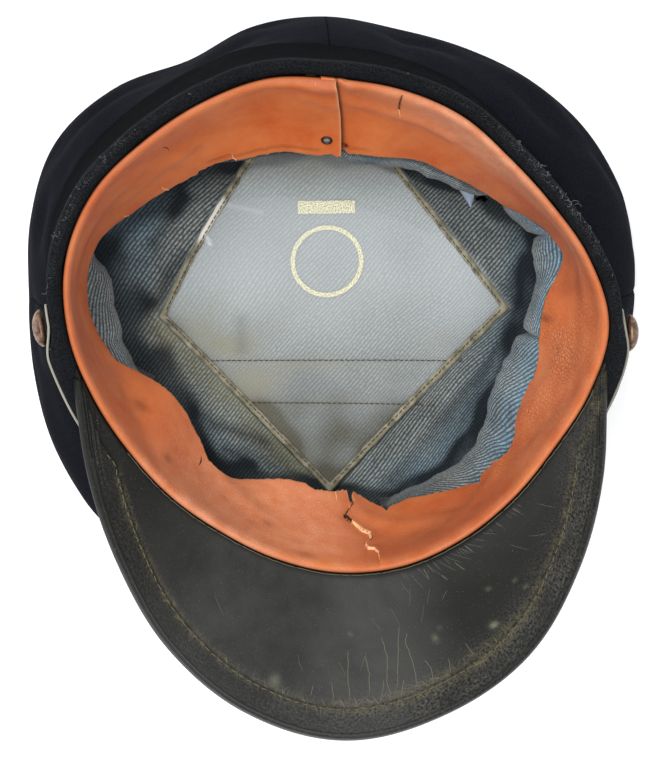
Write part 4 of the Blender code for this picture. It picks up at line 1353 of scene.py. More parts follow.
def old_celluloid():
    """Clear, with a tenth of haze, more at the brown-yellow seams, in painted shade at the back and in a
    painted reflection of the lamp.
    """
    material, tree, shader = start("aged_clear_celluloid", Roughness=0.34)
    uv = add(tree, "TexCoord").outputs["UV"]
    cloud = add(tree, "TexNoise", {"Vector": uv, "Scale": 30.0, "Detail": 4.0})
    stain_and_shade = add(tree, "Attribute", attribute_name="stain_and_shade").outputs["Fac"]
    film = add(tree, "Mix", {0: stain_and_shade, 6: tint("c3cdd0"), 7: tint("4f4c36")}, **MIX)
    tree.links.new(film.outputs[2], shader.inputs["Base Color"])
    haze = add(tree, "MapRange", {0: cloud, 1: 0.3, 2: 0.7, 3: 0.08, 4: 0.15})
    more = add(tree, "Math", {0: stain_and_shade, 1: 0.2, 2: haze}, operation="MULTIPLY_ADD")
    glare = add(tree, "Attribute", attribute_name="glare").outputs["Fac"]
    more = add(tree, "Math", {0: glare, 1: 0.34, 2: more}, operation="MULTIPLY_ADD")
    through = add(tree, "BsdfTransparent")
    both = add(
        tree, "MixShader",
        {0: more, 1: through, 2: shader},
    )
    # A plain ring and bar of gold leaf are printed on the film. The leaf has flaked off in specks.
    leaf = add(tree, "BsdfPrincipled", {"Base Color": tint("dcd9b6"), "Metallic": 0.25, "Roughness": 0.45})
    from_ring = add(tree, "VectorMath", {0: uv, 1: (RING_AT[0], RING_AT[1], 0)}, operation="DISTANCE")
    off = add(tree, "Math", {0: from_ring, 1: RING_R}, operation="SUBTRACT")
    off = add(tree, "Math", {0: off}, operation="ABSOLUTE")
    ring = add(tree, "Math", {0: off, 1: 0.8 * MM}, operation="LESS_THAN")
    apart = add(tree, "VectorMath", {0: uv, 1: (BAR_AT[0], BAR_AT[1], 0)}, operation="SUBTRACT")
    apart = add(tree, "VectorMath", {0: apart}, operation="ABSOLUTE")
    apart = add(tree, "SeparateXYZ", {0: apart})
    wide = add(tree, "Math", {0: apart.outputs["X"], 1: BAR_HALF[0]}, operation="LESS_THAN")
    tall = add(tree, "Math", {0: apart.outputs["Y"], 1: BAR_HALF[1]}, operation="LESS_THAN")
    bar = add(tree, "Math", {0: wide, 1: tall}, operation="MULTIPLY")
    gold = add(tree, "Math", {0: ring, 1: bar}, operation="MAXIMUM")
    flake = add(tree, "TexNoise", {"Vector": uv, "Scale": 2400.0, "Detail": 2.0})
    left = add(tree, "MapRange", {0: flake, 1: 0.42, 2: 0.54})
    gold = add(tree, "Math", {0: gold, 1: left}, operation="MULTIPLY")
    printed = add(
        tree, "MixShader", {0: gold, 1: both, 2: leaf}
    )
    tree.links.new(printed.outputs[0], tree.nodes["Material Output"].inputs["Surface"])
    return material


celluloid = old_celluloid()

# %% [markdown]
# The lozenge is cut from one flat sheet and follows the lining under it at an even lift. Its plan
# is blended between four corners, which is quicker to fit than a trimmed sheet. The stains, the
# painted shade at the back and the painted reflection of the lamp are point values of the same grid.

# %% Shield
SHIELD_LIFT, TAPE_LIFT, TAPE_WIDTH, TAPE_INSET = 1.8 * MM, 2.7 * MM, 2.3 * MM, 0.4 * MM
BACK_LEFT_BOW, BACK_RIGHT_BOW, FILM_T, TAPE_T = 2.4 * MM, 1.9 * MM, 0.4 * MM, 0.5 * MM


def shield_plan(u, v):
    """Plan of the lozenge: its two back edges are cut in slight outward curves."""
    left, front, right, back = (CORNERS[name] for name in ("left", "front", "right", "back"))
    p = (left * (1 - u) + front * u) * (1 - v) + (back * (1 - u) + right * u) * v
    bow_left = BACK_LEFT_BOW * math.sin(math.pi * min(1, v / 0.8)) * (1 - u) ** 3
    bow_right = BACK_RIGHT_BOW * math.sin(math.pi * u**0.6) * v**3
    return p + Vector((-0.86, 0.51)) * bow_left + Vector((0.77, 0.63)) * bow_right


def film_swell(x, y):
    return 0.5 * MM * waver((x, y, 0), 0.03, 31)


def shield_point(s, t):
    p = shield_plan(s, t)
    edge = min(s, 1 - s, t, 1 - t)
    return over_lining(p.x, p.y, SHIELD_LIFT + film_swell(p.x, p.y) * ease(edge / 0.1))


def shield_mask(kind):
    def value(s, t):
        p = shield_plan(s, t)
        if kind == "stain_and_shade":
            seam = 0.9 * ease((0.1 - t) / 0.1) + 0.5 * ease((0.05 - s) / 0.05)
            seam += 0.4 * ease((s - 0.94) / 0.06)
            low = 0.2 * hill(p.y + 35 * MM, 8 * MM) * ease((30 * MM - p.x) / (40 * MM))
            # Darker towards the front, and painted shade along the back, where the folds and the leather
            # overhang the shield.
            front = 1.25 * ease((-33 * MM - p.y) / (16 * MM))
            back = 1.3 * ease((p.y - 42 * MM) / (12 * MM))
            return min(1.3, (seam + low + front + back) * (0.62 + 0.5 * waver((p.x, p.y, 0), 0.012, 32)))
        # The lamp's reflection, painted into the haze: pale behind a soft line near the back, fading towards
        # the front.
        line = 36 * MM - 0.16 * (p.x + 15 * MM) - 0.002 * (p.x / (22 * MM)) ** 2
        lit = ease((line - p.y) / (1.6 * MM)) * (0.04 + 0.44 * ease((p.y + 32 * MM) / (58 * MM)))
        streak = beside([Vector((-0.0387, 0.0323)), Vector((-0.0227, 0.0284))], p)[0]
        glint = beside([Vector((-0.0446, 0.0227)), Vector((-0.0417, 0.0168))], p)[0]
        lit += 0.9 * hill(streak, 1.0 * MM) + 2.0 * hill(glint, 0.7 * MM)
        return lit * (0.85 + 0.3 * waver((p.x, p.y, 0), 0.025, 34))

    return value


def turn_up(bm):
    """Faces point up, so that a wall goes down into the cloth."""
    bmesh.ops.recalc_face_normals(bm, faces=bm.faces)
    if sum(f.normal.z for f in bm.faces) < 0:
        bmesh.ops.reverse_faces(bm, faces=bm.faces)
    return bm


sheet = laid_grid(
    110, 110, shield_point, cloth=lambda s, t: tuple(shield_plan(s, t)),
    masks={kind: shield_mask(kind) for kind in ("stain_and_shade", "glare")},
)
shield = keep(
    turn_up(sheet), "sweat_shield_celluloid", celluloid, ["sweat_shield"],
    wall=FILM_T, offset=0.0,
)

# %% [markdown]
# The tape is a narrow woven strip, sewn flat on the shield's edge with dark thread. Two more rows
# of the same stitches cross the shield and hold it down to the lining.

# %% Woven tape and thread
# Patchy olive-grey cotton, which frames the shield.
tape_cloth, tree, shader = start("worn_cotton_tape", Roughness=0.85)
place = add(tree, "TexCoord").outputs["Object"]
worn = add(tree, "TexNoise", {"Vector": place, "Scale": 260.0, "Detail": 4.0})
grey = add(tree, "MapRange", {0: worn, 1: 0.35, 2: 0.65})
colour = add(tree, "Mix", {0: grey, 6: tint("625f4d"), 7: tint("98947f")}, **MIX)
# A painted highlight: the lamp's glint on a short run of the tape.
painted_glint = add(tree, "Attribute", attribute_name="painted_glint").outputs["Fac"]
colour = add(tree, "Mix", {0: painted_glint, 6: colour, 7: tint("e3e1d6")}, **MIX)
tree.links.new(colour.outputs[2], shader.inputs["Base Color"])

# Dark broken lines on the tape.
brown_thread = start("brown_linen_thread", Roughness=0.8, Base_Color=tint("3f3728"))[0]
# Thin yellowish dashes along the visor's edge.
tan_thread = start("waxed_tan_thread", Roughness=0.6, Base_Color=tint("5c543d"))[0]


def tape_plan(s, t):
    side = min(3, int(t * 4))
    unit = (CORNERS["left"] - CORNERS["front"]).length
    worn = 0.3 * MM * abs(2 * s - 1) * waver((7 * t, 3 * s, 0), 0.05, 35)
    near = (TAPE_INSET + TAPE_WIDTH * s + worn) / unit
    run = near + (1 - 2 * near) * (t * 4 - side)
    u, v = ((run, near), (1 - near, run), (1 - run, 1 - near), (near, 1 - run))[side]
    return shield_plan(u, v)


def tape_glint(s, t):
    """A short run of the tape with a painted highlight, the lamp's glint."""
    glint_run = [Vector((-0.0464, 0.0217)), Vector((-0.0398, 0.0334))]
    return ease(1.6 - beside(glint_run, tape_plan(s, t))[0] / (3 * MM))


def tape_point(s, t):
    p = tape_plan(s, t)
    lift = TAPE_LIFT + 0.12 * MM * waver((p.x, p.y, 0), 0.004, 33) - 0.35 * MM * (2 * s - 1) ** 2
    return over_lining(p.x, p.y, lift)


tape = turn_up(laid_grid(6, 480, tape_point, masks={"painted_glint": tape_glint}))
keep(tape, "shield_tape_cotton", tape_cloth, ["shield_tape"], wall=TAPE_T)


def stitches(line, pitch, length, rise, drift):
    """Short strands along a line of (point, outward direction), each end drawn into the cloth."""
    dice = random.Random(len(line))
    runs, walked, due = [], 0.0, pitch / 2
    for (a, up_a), (b, up_b) in zip(line, line[1:]):
        step = (b - a).length
        while walked + step >= due:
            k = (due - walked) / step
            spot, along_line = a.lerp(b, k), (b - a).normalized()
            up_here = up_a.lerp(up_b, k).normalized()
            aside = along_line.cross(up_here) * dice.uniform(-drift, drift)
            half = along_line * length * dice.uniform(0.42, 0.52)
            runs.append([
                spot - half - up_here * 0.25 * MM - aside, spot - half * 0.55 + up_here * rise - aside,
                spot + half * 0.55 + up_here * rise + aside, spot + half - up_here * 0.25 * MM + aside,
            ])
            due += pitch
        walked += step
    return runs


UP = Vector((0, 0, 1))
seam_runs = []
for side in range(4):
    line = [(tape_point(0.62, (side + k / 60) / 4) + UP * 0.1 * MM, UP) for k in range(1, 60)]
    seam_runs += stitches(line, pitch=2.1 * MM, length=1.9 * MM, rise=0.1 * MM, drift=0.12 * MM)
CROSS_ROWS = (((-42.5, -26.7), (51.5, -28.1)), ((-29.3, -42.8), (36.5, -44.6)))
for (x0, y0), (x1, y1) in CROSS_ROWS:
    line = []
    for k in range(81):
        x, y = (x0 + (x1 - x0) * k / 80) * MM, (y0 + (y1 - y0) * k / 80) * MM
        line.append((over_lining(x, y, SHIELD_LIFT + 0.25 * MM + film_swell(x, y)), UP))
    seam_runs += stitches(line, pitch=2.0 * MM, length=1.9 * MM, rise=0.1 * MM, drift=0.12 * MM)
threads("shield_stitches", brown_thread, seam_runs, thick=0.36 * MM)

# %% [markdown]
# ## Visor
# The visor is stiff leather with a patent finish, and its underside faces the camera. The finish
# has dulled to charcoal. Along the front it has crazed into short cracks with dusty, olive-yellow
# lips. Its root bends down between the sweatband and the band, where a pale worn line shows.

# %% Patent leather
def dulled_patent():
    """Charcoal varnish: smooth in the middle, scuffed and pitted at the edge, crazed at the front."""
    material, tree, shader = start("dulled_patent_leather", Roughness=0.45)
    dull = add(tree, "Attribute", attribute_name="dull").outputs["Fac"]
    sheen = add(tree, "MapRange", {0: dull, 3: 0.42, 4: 0.05})
    tree.links.new(sheen.outputs[0], shader.inputs["Specular IOR Level"])
    uv = add(tree, "TexCoord").outputs["UV"]
    cloud = add(tree, "TexNoise", {"Vector": uv, "Scale": 42.0, "Detail": 6.0, "Roughness": 0.65})
    cloud = add(tree, "MapRange", {0: cloud, 1: 0.3, 2: 0.72})
    base = add(tree, "Mix", {0: cloud, 6: tint("1e1e1d"), 7: tint("333331")}, **MIX)
    pits = add(tree, "TexNoise", {"Vector": uv, "Scale": 1150.0, "Detail": 4.0, "Roughness": 0.7})
    scuff = add(tree, "Attribute", attribute_name="scuff").outputs["Fac"]
    pit = add(tree, "MapRange", {0: pits, 1: 0.4, 2: 0.72})
    # Where the gloss is turned down the colour is also darker.
    base = add(tree, "Mix", {0: dull, 6: base, 7: tint("20201f")}, **MIX)
    dusty = add(tree, "Mix", {0: pit, 6: tint("131313"), 7: tint("5b5a55")}, **MIX)
    base = add(tree, "Mix", {0: scuff, 6: base, 7: dusty}, **MIX)
    olive = add(tree, "Attribute", attribute_name="olive").outputs["Fac"]
    dusting = add(tree, "MapRange", {0: pits, 1: 0.38, 2: 0.6})
    dusting = add(tree, "Math", {0: dusting, 1: olive}, operation="MULTIPLY")
    base = add(tree, "Mix", {0: dusting, 6: base, 7: tint("545140")}, **MIX)
    # The crazing runs across the visor, so its cells are drawn three times as long as wide.
    stretched = add(tree, "Mapping", {"Vector": uv, "Scale": (1, 0.34, 1)})
    craze = add(
        tree, "TexVoronoi", {"Vector": stretched, "Scale": 300.0}, feature="DISTANCE_TO_EDGE"
    )
    line = add(tree, "MapRange", {0: craze, 1: 0.05, 2: 0.01})
    line = add(tree, "Math", {0: line, 1: olive}, operation="MULTIPLY")
    base = add(tree, "Mix", {0: line, 6: base, 7: tint("5f5a45")}, **MIX)
    # Specks of dust, sharper than the pits, lie thinly over all of it.
    dust = add(tree, "TexNoise", {"Vector": uv, "Scale": 1900.0, "Detail": 2.0})
    dust = add(tree, "MapRange", {0: dust, 1: 0.66, 2: 0.74, 3: 0.0, 4: 0.5})
    base = add(tree, "Mix", {0: dust, 6: base, 7: tint("74726a")}, **MIX)
    pale = add(tree, "Attribute", attribute_name="pale").outputs["Fac"]
    base = add(tree, "Mix", {0: pale, 6: base, 7: tint("84866f")}, **MIX)
    tree.links.new(base.outputs[2], shader.inputs["Base Color"])
    gloss = add(tree, "MapRange", {0: cloud, 1: 0.0, 2: 1.0, 3: 0.36, 4: 0.52})
    gloss = add(tree, "Mix", {0: scuff, 2: gloss, 3: 0.6}, data_type="FLOAT")
    tree.links.new(gloss.outputs[0], shader.inputs["Roughness"])
    rough = add(tree, "Math", {0: pits, 1: scuff}, operation="MULTIPLY")
    rough = add(tree, "Math", {0: line, 1: rough}, operation="ADD")
    relief = add(tree, "Bump", {"Height": rough, "Strength": 0.6, "Distance": 0.0003})
    tree.links.new(relief.outputs[0], shader.inputs["Normal"])
    return material


patent = dulled_patent()

# %% [markdown]
# The visor is one crescent of leather. It could be bent from a flat piece with modifiers, but a
# slope and a reach for each angle are surer, since both edges were measured in the photograph.

# %% Visor leaf
BINDING_T, BINDING_CLEAR, EAR_SINK = 0.8 * MM, 5.3 * MM, 3.4 * MM
# The visor spreads outwards, so a degree is longer on it than on the leather strip.
SPREAD = 1.3
first_ear, last_ear = VISOR_EARS


def visor_slant(angle):
    return (VISOR_REACH * column("visor", angle) - GAP - 0.5 * VISOR_T) / math.cos(VISOR_SLOPE)


def on_visor(angle, slant, up):
    """Point along the slope from the bend, and off the leaf's middle."""
    c, s = math.cos(VISOR_SLOPE), math.sin(VISOR_SLOPE)
    r = rim(angle) + GAP + 0.5 * VISOR_T + slant * c - up * s
    sunk = EAR_SINK * (1 - ease((min(angle - first_ear, last_ear - angle) + 1) / 10))
    return polar(angle, r, RIM_Z + VISOR_RISE + slant * s + up * c - sunk)


def visor_swell(angle, slant):
    spot = (slant, angle * DEGREE, 0)
    return 0.35 * MM * waver(spot, 0.03, 41) + 0.08 * MM * waver(spot, 0.006, 42)


def ear_ridges(angle, inset):
    """Ridges along the edge, where the leather was drawn in at the ears."""
    ears = ease((218 - angle) / 14) + max(ease((angle - 326) / 12), 0.4 * ease((angle - 292) / 14))
    return 0.42 * MM * ears * math.cos(math.tau * inset / (1.75 * MM)) * ease((6.5 * MM - inset) / (2 * MM))


LEAF_ROOT, LEAF_ROWS = 5, 52


def leaf_place(s, t):
    angle = first_ear + (last_ear - first_ear) * s
    row = round(t * (LEAF_ROOT + LEAF_ROWS))
    length = max(0.8 * MM, visor_slant(angle) - BINDING_T - 2 * GAP)
    return angle, length, row


def leaf_point(s, t):
    angle, length, row = leaf_place(s, t)
    if row < LEAF_ROOT:
        return polar(angle, rim(angle) + GAP + 0.5 * VISOR_T, RIM_Z - VISOR_ROOT * (1 - row / LEAF_ROOT))
    slant = length * (row - LEAF_ROOT) / LEAF_ROWS
    lift = visor_swell(angle, slant) * ease(slant / (8 * MM)) * ease((length - slant) / (10 * MM))
    if angle < 203 or angle > 337:
        lift += ear_ridges(angle, length - slant) * ease(slant / (1.5 * MM))
    return on_visor(angle, slant, lift)


def seam_inset(angle):
    """How far the binding's inner edge is from the visor's edge."""
    slant = visor_slant(angle)
    return min(BINDING_WIDTH, max(slant - BINDING_CLEAR, 0.55 * slant))


def dulled(angle, slant):
    """1 where the varnish has lost its gloss, at both sides and most at the right; there its colour is also
    darker.
    """
    left = 0.95 * ease((246 - angle) / 30)
    right = ease((angle - 274) / 20) * (0.85 + 0.15 * ease(slant / (20 * MM)))
    return min(1, left + right)


def sewn_dust(angle, off, width, spot):
    """Olive dust that lies along the row of stitches."""
    dust = 0.85 * hill(off, width) * ease((angle - 208) / 6)
    return dust * (0.55 + 0.9 * waver(spot, 0.004, 49))


PALE_SPOTS = (
    # angle, slant, half width and half height in mm, strength: drops that bleached the varnish
    (258.5, 41.2, 1.6, 2.4, 0.45), (297.4, 30.7, 1.1, 0.9, 1.1), (271.6, 21.0, 0.8, 0.6, 0.3),
    (299.5, 18.6, 0.8, 0.6, 0.5), (305.8, 25.4, 0.8, 0.6, 0.4), (304.8, 21.3, 0.7, 0.6, 0.4),
    (286.9, 26.6, 0.9, 1.5, 0.35), (288.2, 23.6, 0.6, 0.6, 0.3),
)


def leaf_mask(kind):
    def value(s, t):
        angle, length, row = leaf_place(s, t)
        slant = length * max(0, row - LEAF_ROOT) / LEAF_ROWS
        inset = visor_slant(angle) - slant
        spot = (slant, angle * DEGREE, 0)
        if kind == "pale":
            drops = sum(
                k * hill(turn_between(angle, a) * DEGREE * 1.35, 1.2 * w * MM) * hill(slant - c * MM, h * MM)
                for a, c, w, h, k in PALE_SPOTS
            )
            return min(1, drops * (0.7 + 0.6 * waver(spot, 0.0015, 43)))
        if kind == "dull":
            return dulled(angle, slant)
        if kind == "olive":
            near = hill(inset - 12 * MM, 2.2 * MM) if inset > 12 * MM else 1
            front = ease((angle - 262) / 10) * ease((306 - angle) / 8)
            sewn = sewn_dust(angle, inset - seam_inset(angle) - 0.6 * MM, 1.6 * MM, spot)
            return max(sewn, near * front * (0.62 + 0.6 * waver(spot, 0.009, 44)))
        right = 0.12 * ease((angle - 300) / 16) * ease((slant - 10 * MM) / (14 * MM))
        edge = hill(inset - 12 * MM, 7 * MM)
        rough = 0.35 + 0.65 * ease((angle - 252) / 36)
        return min(1, max(0, (0.45 * edge * rough + right) * (0.8 + 0.6 * waver(spot, 0.008, 45))))

    return value


def visor_cloth(angle, slant):
    return (angle * DEGREE * SPREAD, slant)


leaf = laid_grid(
    336, LEAF_ROOT + LEAF_ROWS, leaf_point,
    cloth=lambda s, t: visor_cloth(leaf_place(s, t)[0], leaf_place(s, t)[1] * (t - 0.09) / 0.91),
    masks={kind: leaf_mask(kind) for kind in ("scuff", "olive", "pale", "dull")},
)
visor = keep(leaf, "visor_patent_leather", patent, ["visor"], wall=VISOR_T, offset=0.0)

# %% [markdown]
# A strip of the same leather is folded over the edge. It is a closed section swept along the edge:
# its inner side follows the seam, and its outer side stands up in a small ridge where it turns.

# %% Binding
HOLD = VISOR_T / 2 + GAP
THICK = HOLD + BINDING_T
BINDING_SECTION = [
    # share of the strip's width in from the edge, plain distance in, distance off the middle
    (1.0, 0.0, HOLD + 0.25 * MM), (0.985, 0.0, THICK - 0.1 * MM), (0.93, 0.0, THICK),
    *[(0.93 - 0.05 * k, 0.0, THICK) for k in range(1, 16)],
    (0.14, 0.3 * MM, THICK), (0.09, 0.6 * MM, THICK + 0.12 * MM), (0.04, 0.9 * MM, THICK + 0.3 * MM),
    (0.0, 1.2 * MM, THICK + 0.3 * MM), (0.0, 0.55 * MM, THICK), (0.0, 0.15 * MM, 0.75 * THICK),
    (0.0, 0.0, 0.4 * THICK), (0.0, 0.0, -0.3 * THICK), (0.0, 0.2 * MM, -0.75 * THICK),
    (0.0, 0.7 * MM, -THICK), *[(0.15 * k, 0.9 * MM * (1 - 0.15 * k), -THICK) for k in range(1, 7)],
    (1.0, 0.0, -THICK), (1.0, 0.0, -HOLD), (0.5, 0.0, -HOLD), (0.0, BINDING_T, -HOLD),
    (0.0, BINDING_T, HOLD), (0.5, 0.0, HOLD), (1.0, 0.0, HOLD),
]
BOUND = (190, 350)


def binding_place(s, t):
    share, plain, up = BINDING_SECTION[round(s * len(BINDING_SECTION)) % len(BINDING_SECTION)]
    angle = BOUND[0] + (BOUND[1] - BOUND[0]) * t
    return angle, share * seam_inset(angle) + plain, up


def binding_point(s, t):
    angle, inset, up = binding_place(s, t)
    slant = visor_slant(angle) - inset
    if up > HOLD + 0.2 * MM:
        up += ear_ridges(angle, inset) * 0.8 + 0.16 * MM * waver((slant, angle * DEGREE, 0), 0.005, 46)
    return on_visor(angle, slant, up)


def binding_mask(kind):
    def value(s, t):
        angle, inset, up = binding_place(s, t)
        spot = (inset, angle * DEGREE, 0)
        if kind == "olive":
            inner = ease((inset - 6 * MM) / (4 * MM)) * ease((angle - 258) / 12) * ease((312 - angle) / 10)
            sewn = sewn_dust(angle, inset - seam_inset(angle) + 0.8 * MM, 1.5 * MM, spot)
            return max(sewn, inner * (0.6 + 0.6 * waver(spot, 0.008, 47)))
        if kind == "dull":
            inner = ease((inset - 1.0 * MM) / (1.2 * MM))
            ears = ease((222 - angle) / 12) + ease((angle - 318) / 12)
            return min(1, 0.85 * dulled(angle, 20 * MM) * max(inner, ears, 0.55) + 0.45)
        shine = ease((inset - 1.6 * MM) / (1.2 * MM))
        rough = 0.35 + 0.65 * ease((angle - 248) / 40)
        return (0.4 + 0.5 * shine) * rough * (0.8 + 0.7 * waver(spot, 0.007, 48))

    return value


strip = laid_grid(
    len(BINDING_SECTION), 480, binding_point,
    cloth=lambda s, t: visor_cloth(binding_place(s, t)[0], 0.1 + binding_place(s, t)[1]),
    masks={kind: binding_mask(kind) for kind in ("scuff", "olive", "dull")},
)
bmesh.ops.holes_fill(strip, edges=[e for e in strip.edges if e.is_boundary], sides=0)
bmesh.ops.recalc_face_normals(strip, faces=strip.faces)
keep(strip, "visor_binding_patent", patent, ["visor_binding"])

# %% [markdown]
# The binding is sewn through with a waxed tan thread, one row of stitches about 3 mm long just
# inside its edge. The longest cracks in the varnish have curled lips. They are laid here as fine
# raised lines, each a few points given as an angle and millimetres from the bend.

# %% Visor stitches and cracks
def visor_line(angles, inset):
    rise = THICK + 0.04 * MM
    c, s = math.cos(VISOR_SLOPE), math.sin(VISOR_SLOPE)
    return [
        (on_visor(a, visor_slant(a) - inset(a), rise), polar(a, -s, c)) for a in angles
    ]


sewn = visor_line([207 + 0.5 * k for k in range(247)], lambda a: seam_inset(a) - 1.1 * MM)
visor_runs = stitches(sewn, pitch=3.0 * MM, length=2.3 * MM, rise=0.16 * MM, drift=0.16 * MM)
threads("visor_stitches", tan_thread, visor_runs, thick=0.42 * MM)

CRACKS = (
    ((277.5, 22.3), (277.9, 30), (277.2, 38), (277.5, 45.3)),
    ((282.2, 22.2), (281.5, 24.9), (282.1, 33), (281.8, 43.6)),
    ((281.0, 19.6), (280.2, 26), (279.4, 33), (278.5, 42.6)),
    ((274.0, 28.6), (274.4, 35), (274.0, 43.9)), ((271.1, 26.8), (270.7, 36), (271.0, 46.0)),
    ((276.6, 37.7), (276.2, 42), (275.1, 47.2)), ((279.9, 38.4), (279.4, 42), (278.7, 46.6)),
    ((284.1, 33.1), (284.7, 36), (284.4, 43.5)), ((289.1, 1.6), (289.5, 6.9)),
    ((292.4, 6.3), (293.2, 9.4)), ((296.0, 4.2), (297.4, 9.5)), ((291.5, 32), (292.3, 38)),
    ((288.0, 35), (287.4, 41)), ((268.0, 38), (268.5, 46)), ((265.0, 40), (264.6, 45)),
)


def on_leaf(angle, slant, lift=0.0):
    """Point on the leaf's face, which swells a little away from the bend."""
    return on_visor(angle, slant, VISOR_T / 2 + visor_swell(angle, slant) * ease(slant / (8 * MM)) + lift)


dice = random.Random(7)


def ragged(a0, s0, a1, s1, steps, astray, lift=0.0):
    """Five points on the leaf's face, a step apart on the way from one place to another."""
    points = []
    for k in range(5):
        angle = a0 + (a1 - a0) * k / steps + dice.uniform(-astray, astray)
        points.append(on_leaf(angle, (s0 + (s1 - s0) * k / steps) * MM, lift))
    return points


lips = []
for line in CRACKS:
    points = []
    for first, last in zip(line, line[1:]):
        points += ragged(*first, *last, steps=5, astray=0.1, lift=0.02 * MM)
    lips.append(points)
# Dusty lips, paler than the varnish that they stand on.
pale_lip = start("cracked_varnish_lip", Roughness=0.7, Base_Color=tint("6d6857"))[0]
threads("visor_crack_lips", pale_lip, lips, thick=0.22 * MM)

# %% [markdown]
# Beside the leather the varnish has worn through in a thin line, and fine scratches run out from it
# at the right. A texture would need a pattern finer than the pits. Thin strands keep a sharp edge
# from any distance, and they cost few faces.

# %% Scratches and worn line
SCRATCHES = (
    # angle and millimetres from the bend at both ends
    (286.0, 2.0, 287.8, 8.5), (288.0, 0.8, 289.5, 6.0), (290.2, 0.6, 292.6, 8.2),
    (292.5, 0.5, 295.6, 7.4), (294.6, 0.5, 297.2, 5.6), (296.0, 0.5, 299.4, 6.4),
    (298.0, 0.4, 300.2, 4.2), (300.0, 0.4, 303.0, 5.0), (302.0, 0.4, 304.0, 3.6),
    (304.4, 0.4, 307.0, 4.0), (283.6, 4.0, 284.6, 9.0), (285.0, 6.5, 283.8, 13.0),
    (289.0, 9.0, 287.4, 14.0), (292.0, 12.0, 290.4, 14.6), (280.0, 12.0, 281.2, 19.0),
    (286.8, 14.0, 285.2, 20.0), (276.0, 15.0, 277.4, 20.0), (273.0, 34.0, 274.2, 27.0),
    (269.4, 31.0, 270.4, 36.0), (312.0, 12.0, 315.0, 16.0), (318.0, 6.0, 320.0, 12.0),
    (308.0, 10.0, 310.4, 16.0), (262.0, 30.0, 263.0, 36.0), (244.0, 20.0, 247.0, 25.0),
)
scratched = [ragged(*ends, steps=4, astray=0.12) for ends in SCRATCHES]
for k in range(24):
    a, s0, length = dice.uniform(284, 315), dice.uniform(0.2, 1.0), dice.uniform(1.2, 5.2)
    scratched.append([
        on_visor(a + 0.22 * length * j / 3, (s0 + length * j / 3) * MM, VISOR_T / 2 + 0.01 * MM)
        for j in range(4)
    ])
worn_line, angle = [], 210.0
while angle < 344:
    length = dice.uniform(1.0, 5.0)
    worn_line.append([
        on_visor(angle + length * k / 4, (dice.uniform(-0.12, 0.12) - 0.7) * MM, VISOR_T / 2)
        for k in range(5)
    ])
    angle += length + dice.uniform(-0.9, 0.25)
# Dust in the scratches, a shade lighter than the varnish.
dusty_line = start("dusty_scratch", Roughness=0.8, Base_Color=tint("69665a"))[0]
threads("visor_scratches", dusty_line, scratched, thick=0.1 * MM)
# Bare leather under the varnish: a brownish line.
worn_rim = start("worn_through_varnish", Roughness=0.8, Base_Color=tint("56513f"))[0]
threads("visor_worn_line", worn_rim, worn_line, thick=0.34 * MM)

# %% [markdown]
# ## Chin strap and side buttons
# The strap is thin patent leather round the band's front. Its cut edges were never dyed: beside
# the buttons they show as a cream line, and further forward they are dark. It is
# one strip laid on the band, and the faces of its cut edges have a finish of their own.

# %% Strap
# Black and half glossy, so that it stands off the matt band.
strap_patent = start("black_patent_leather", Roughness=0.38, Base_Color=tint("171717"), Coat_Weight=0.15)[0]
cut_leather, tree, shader = start("undyed_cut_leather", Roughness=0.75)
place = add(tree, "TexCoord").outputs["Object"]
# The cut edge is pale beside the buttons only, and black further forward.
forward = add(tree, "VectorMath", {0: place, 1: (-0.2, 1.0, 0.0)}, operation="DOT_PRODUCT")
worn = add(tree, "MapRange", {0: forward, 1: -0.056, 2: -0.044})
edge = add(tree, "Mix", {0: worn, 6: tint("2b2a26"), 7: tint("a09c8e")}, **MIX)
tree.links.new(edge.outputs[2], shader.inputs["Base Color"])
STRAP_THIN, STRAP_OFF = 0.8 * MM, 0.15 * MM


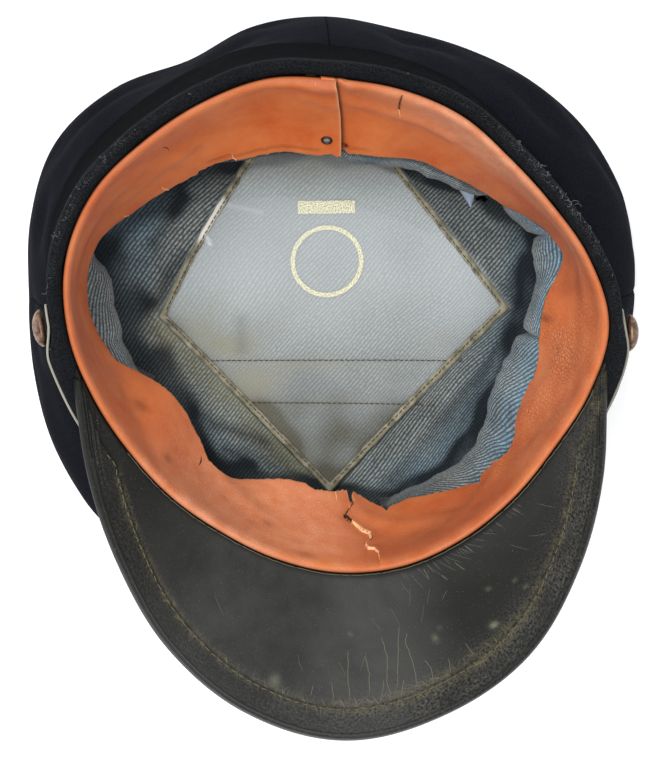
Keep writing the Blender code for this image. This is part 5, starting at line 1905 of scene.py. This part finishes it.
def strap_point(s, t):
    first, last = STRAP_ENDS
    angle = first + (last - first) * s
    arc = math.radians(min(angle - first, last - angle)) * band_outer(angle, STRAP_Z)
    half = STRAP_WIDTH / 2
    if arc < half:
        half *= math.sqrt(max(0.12, 1 - (1 - arc / half) ** 2))
    z = STRAP_Z + half * (2 * t - 1)
    slack = 0.25 * MM * (1 + waver((angle / RADIAN, 0, 0), 0.2, 51))
    return polar(angle, band_outer(angle, z) - pressed(angle) + STRAP_OFF + slack, z)


strap = keep(
    laid_grid(380, 8, strap_point), "chin_strap_patent", strap_patent,
    ["chin_strap"], wall=STRAP_THIN, offset=1.0, rim_material=cut_leather,
)

# %% [markdown]
# Each strap end lies under a low dome of brass, now brown with age. It is turned from its outline,
# because half a sphere would be too tall and has no rolled foot. The one at the left is tipped a
# little, as the photograph shows.

# %% Side buttons
def aged_brass():
    """Brown patina, patchy between a dark and a paler brown."""
    material, tree, shader = start("browned_brass", Metallic=0.65, Roughness=0.46)
    place = add(tree, "TexCoord").outputs["Object"]
    patch = add(tree, "TexNoise", {"Vector": place, "Scale": 520.0, "Detail": 4.0})
    worn = add(tree, "MapRange", {0: patch, 1: 0.38, 2: 0.66})
    skin = add(tree, "Mix", {0: worn, 6: tint("4a3529"), 7: tint("92735f")}, **MIX)
    tree.links.new(skin.outputs[2], shader.inputs["Base Color"])
    return material


brass = aged_brass()
BUTTON_R, BUTTON_H = 6.5 * MM, 4.4 * MM
DOME = (
    (0.0, 1.0), (0.18, 0.99), (0.36, 0.955), (0.54, 0.885), (0.70, 0.785), (0.84, 0.645), (0.94, 0.49),
    (0.99, 0.37), (1.0, 0.29), (0.985, 0.2), (0.94, 0.13), (0.86, 0.07), (0.74, 0.02), (0.0, 0.02),
)


for side, turn in (("left", 7.0), ("right", 0.0)):
    angle, depth = BUTTONS[side]
    out = band_outer(angle, STRAP_Z) - depth + STRAP_OFF + STRAP_THIN + 0.3 * MM
    out += BUTTON_R * abs(math.sin(math.radians(turn)))
    lie = Matrix.Translation(polar(angle, out, STRAP_Z))
    lie = lie @ Matrix.Rotation(math.radians(angle + turn), 4, "Z")
    lie = lie @ Matrix.Rotation(math.radians(90), 4, "Y")
    dome = turned_piece([(r * BUTTON_R, h * BUTTON_H) for r, h in DOME])
    bmesh.ops.transform(dome, matrix=lie, verts=dome.verts)
    keep(dome, f"button_{side}_dome", brass, [f"button_{side}"])
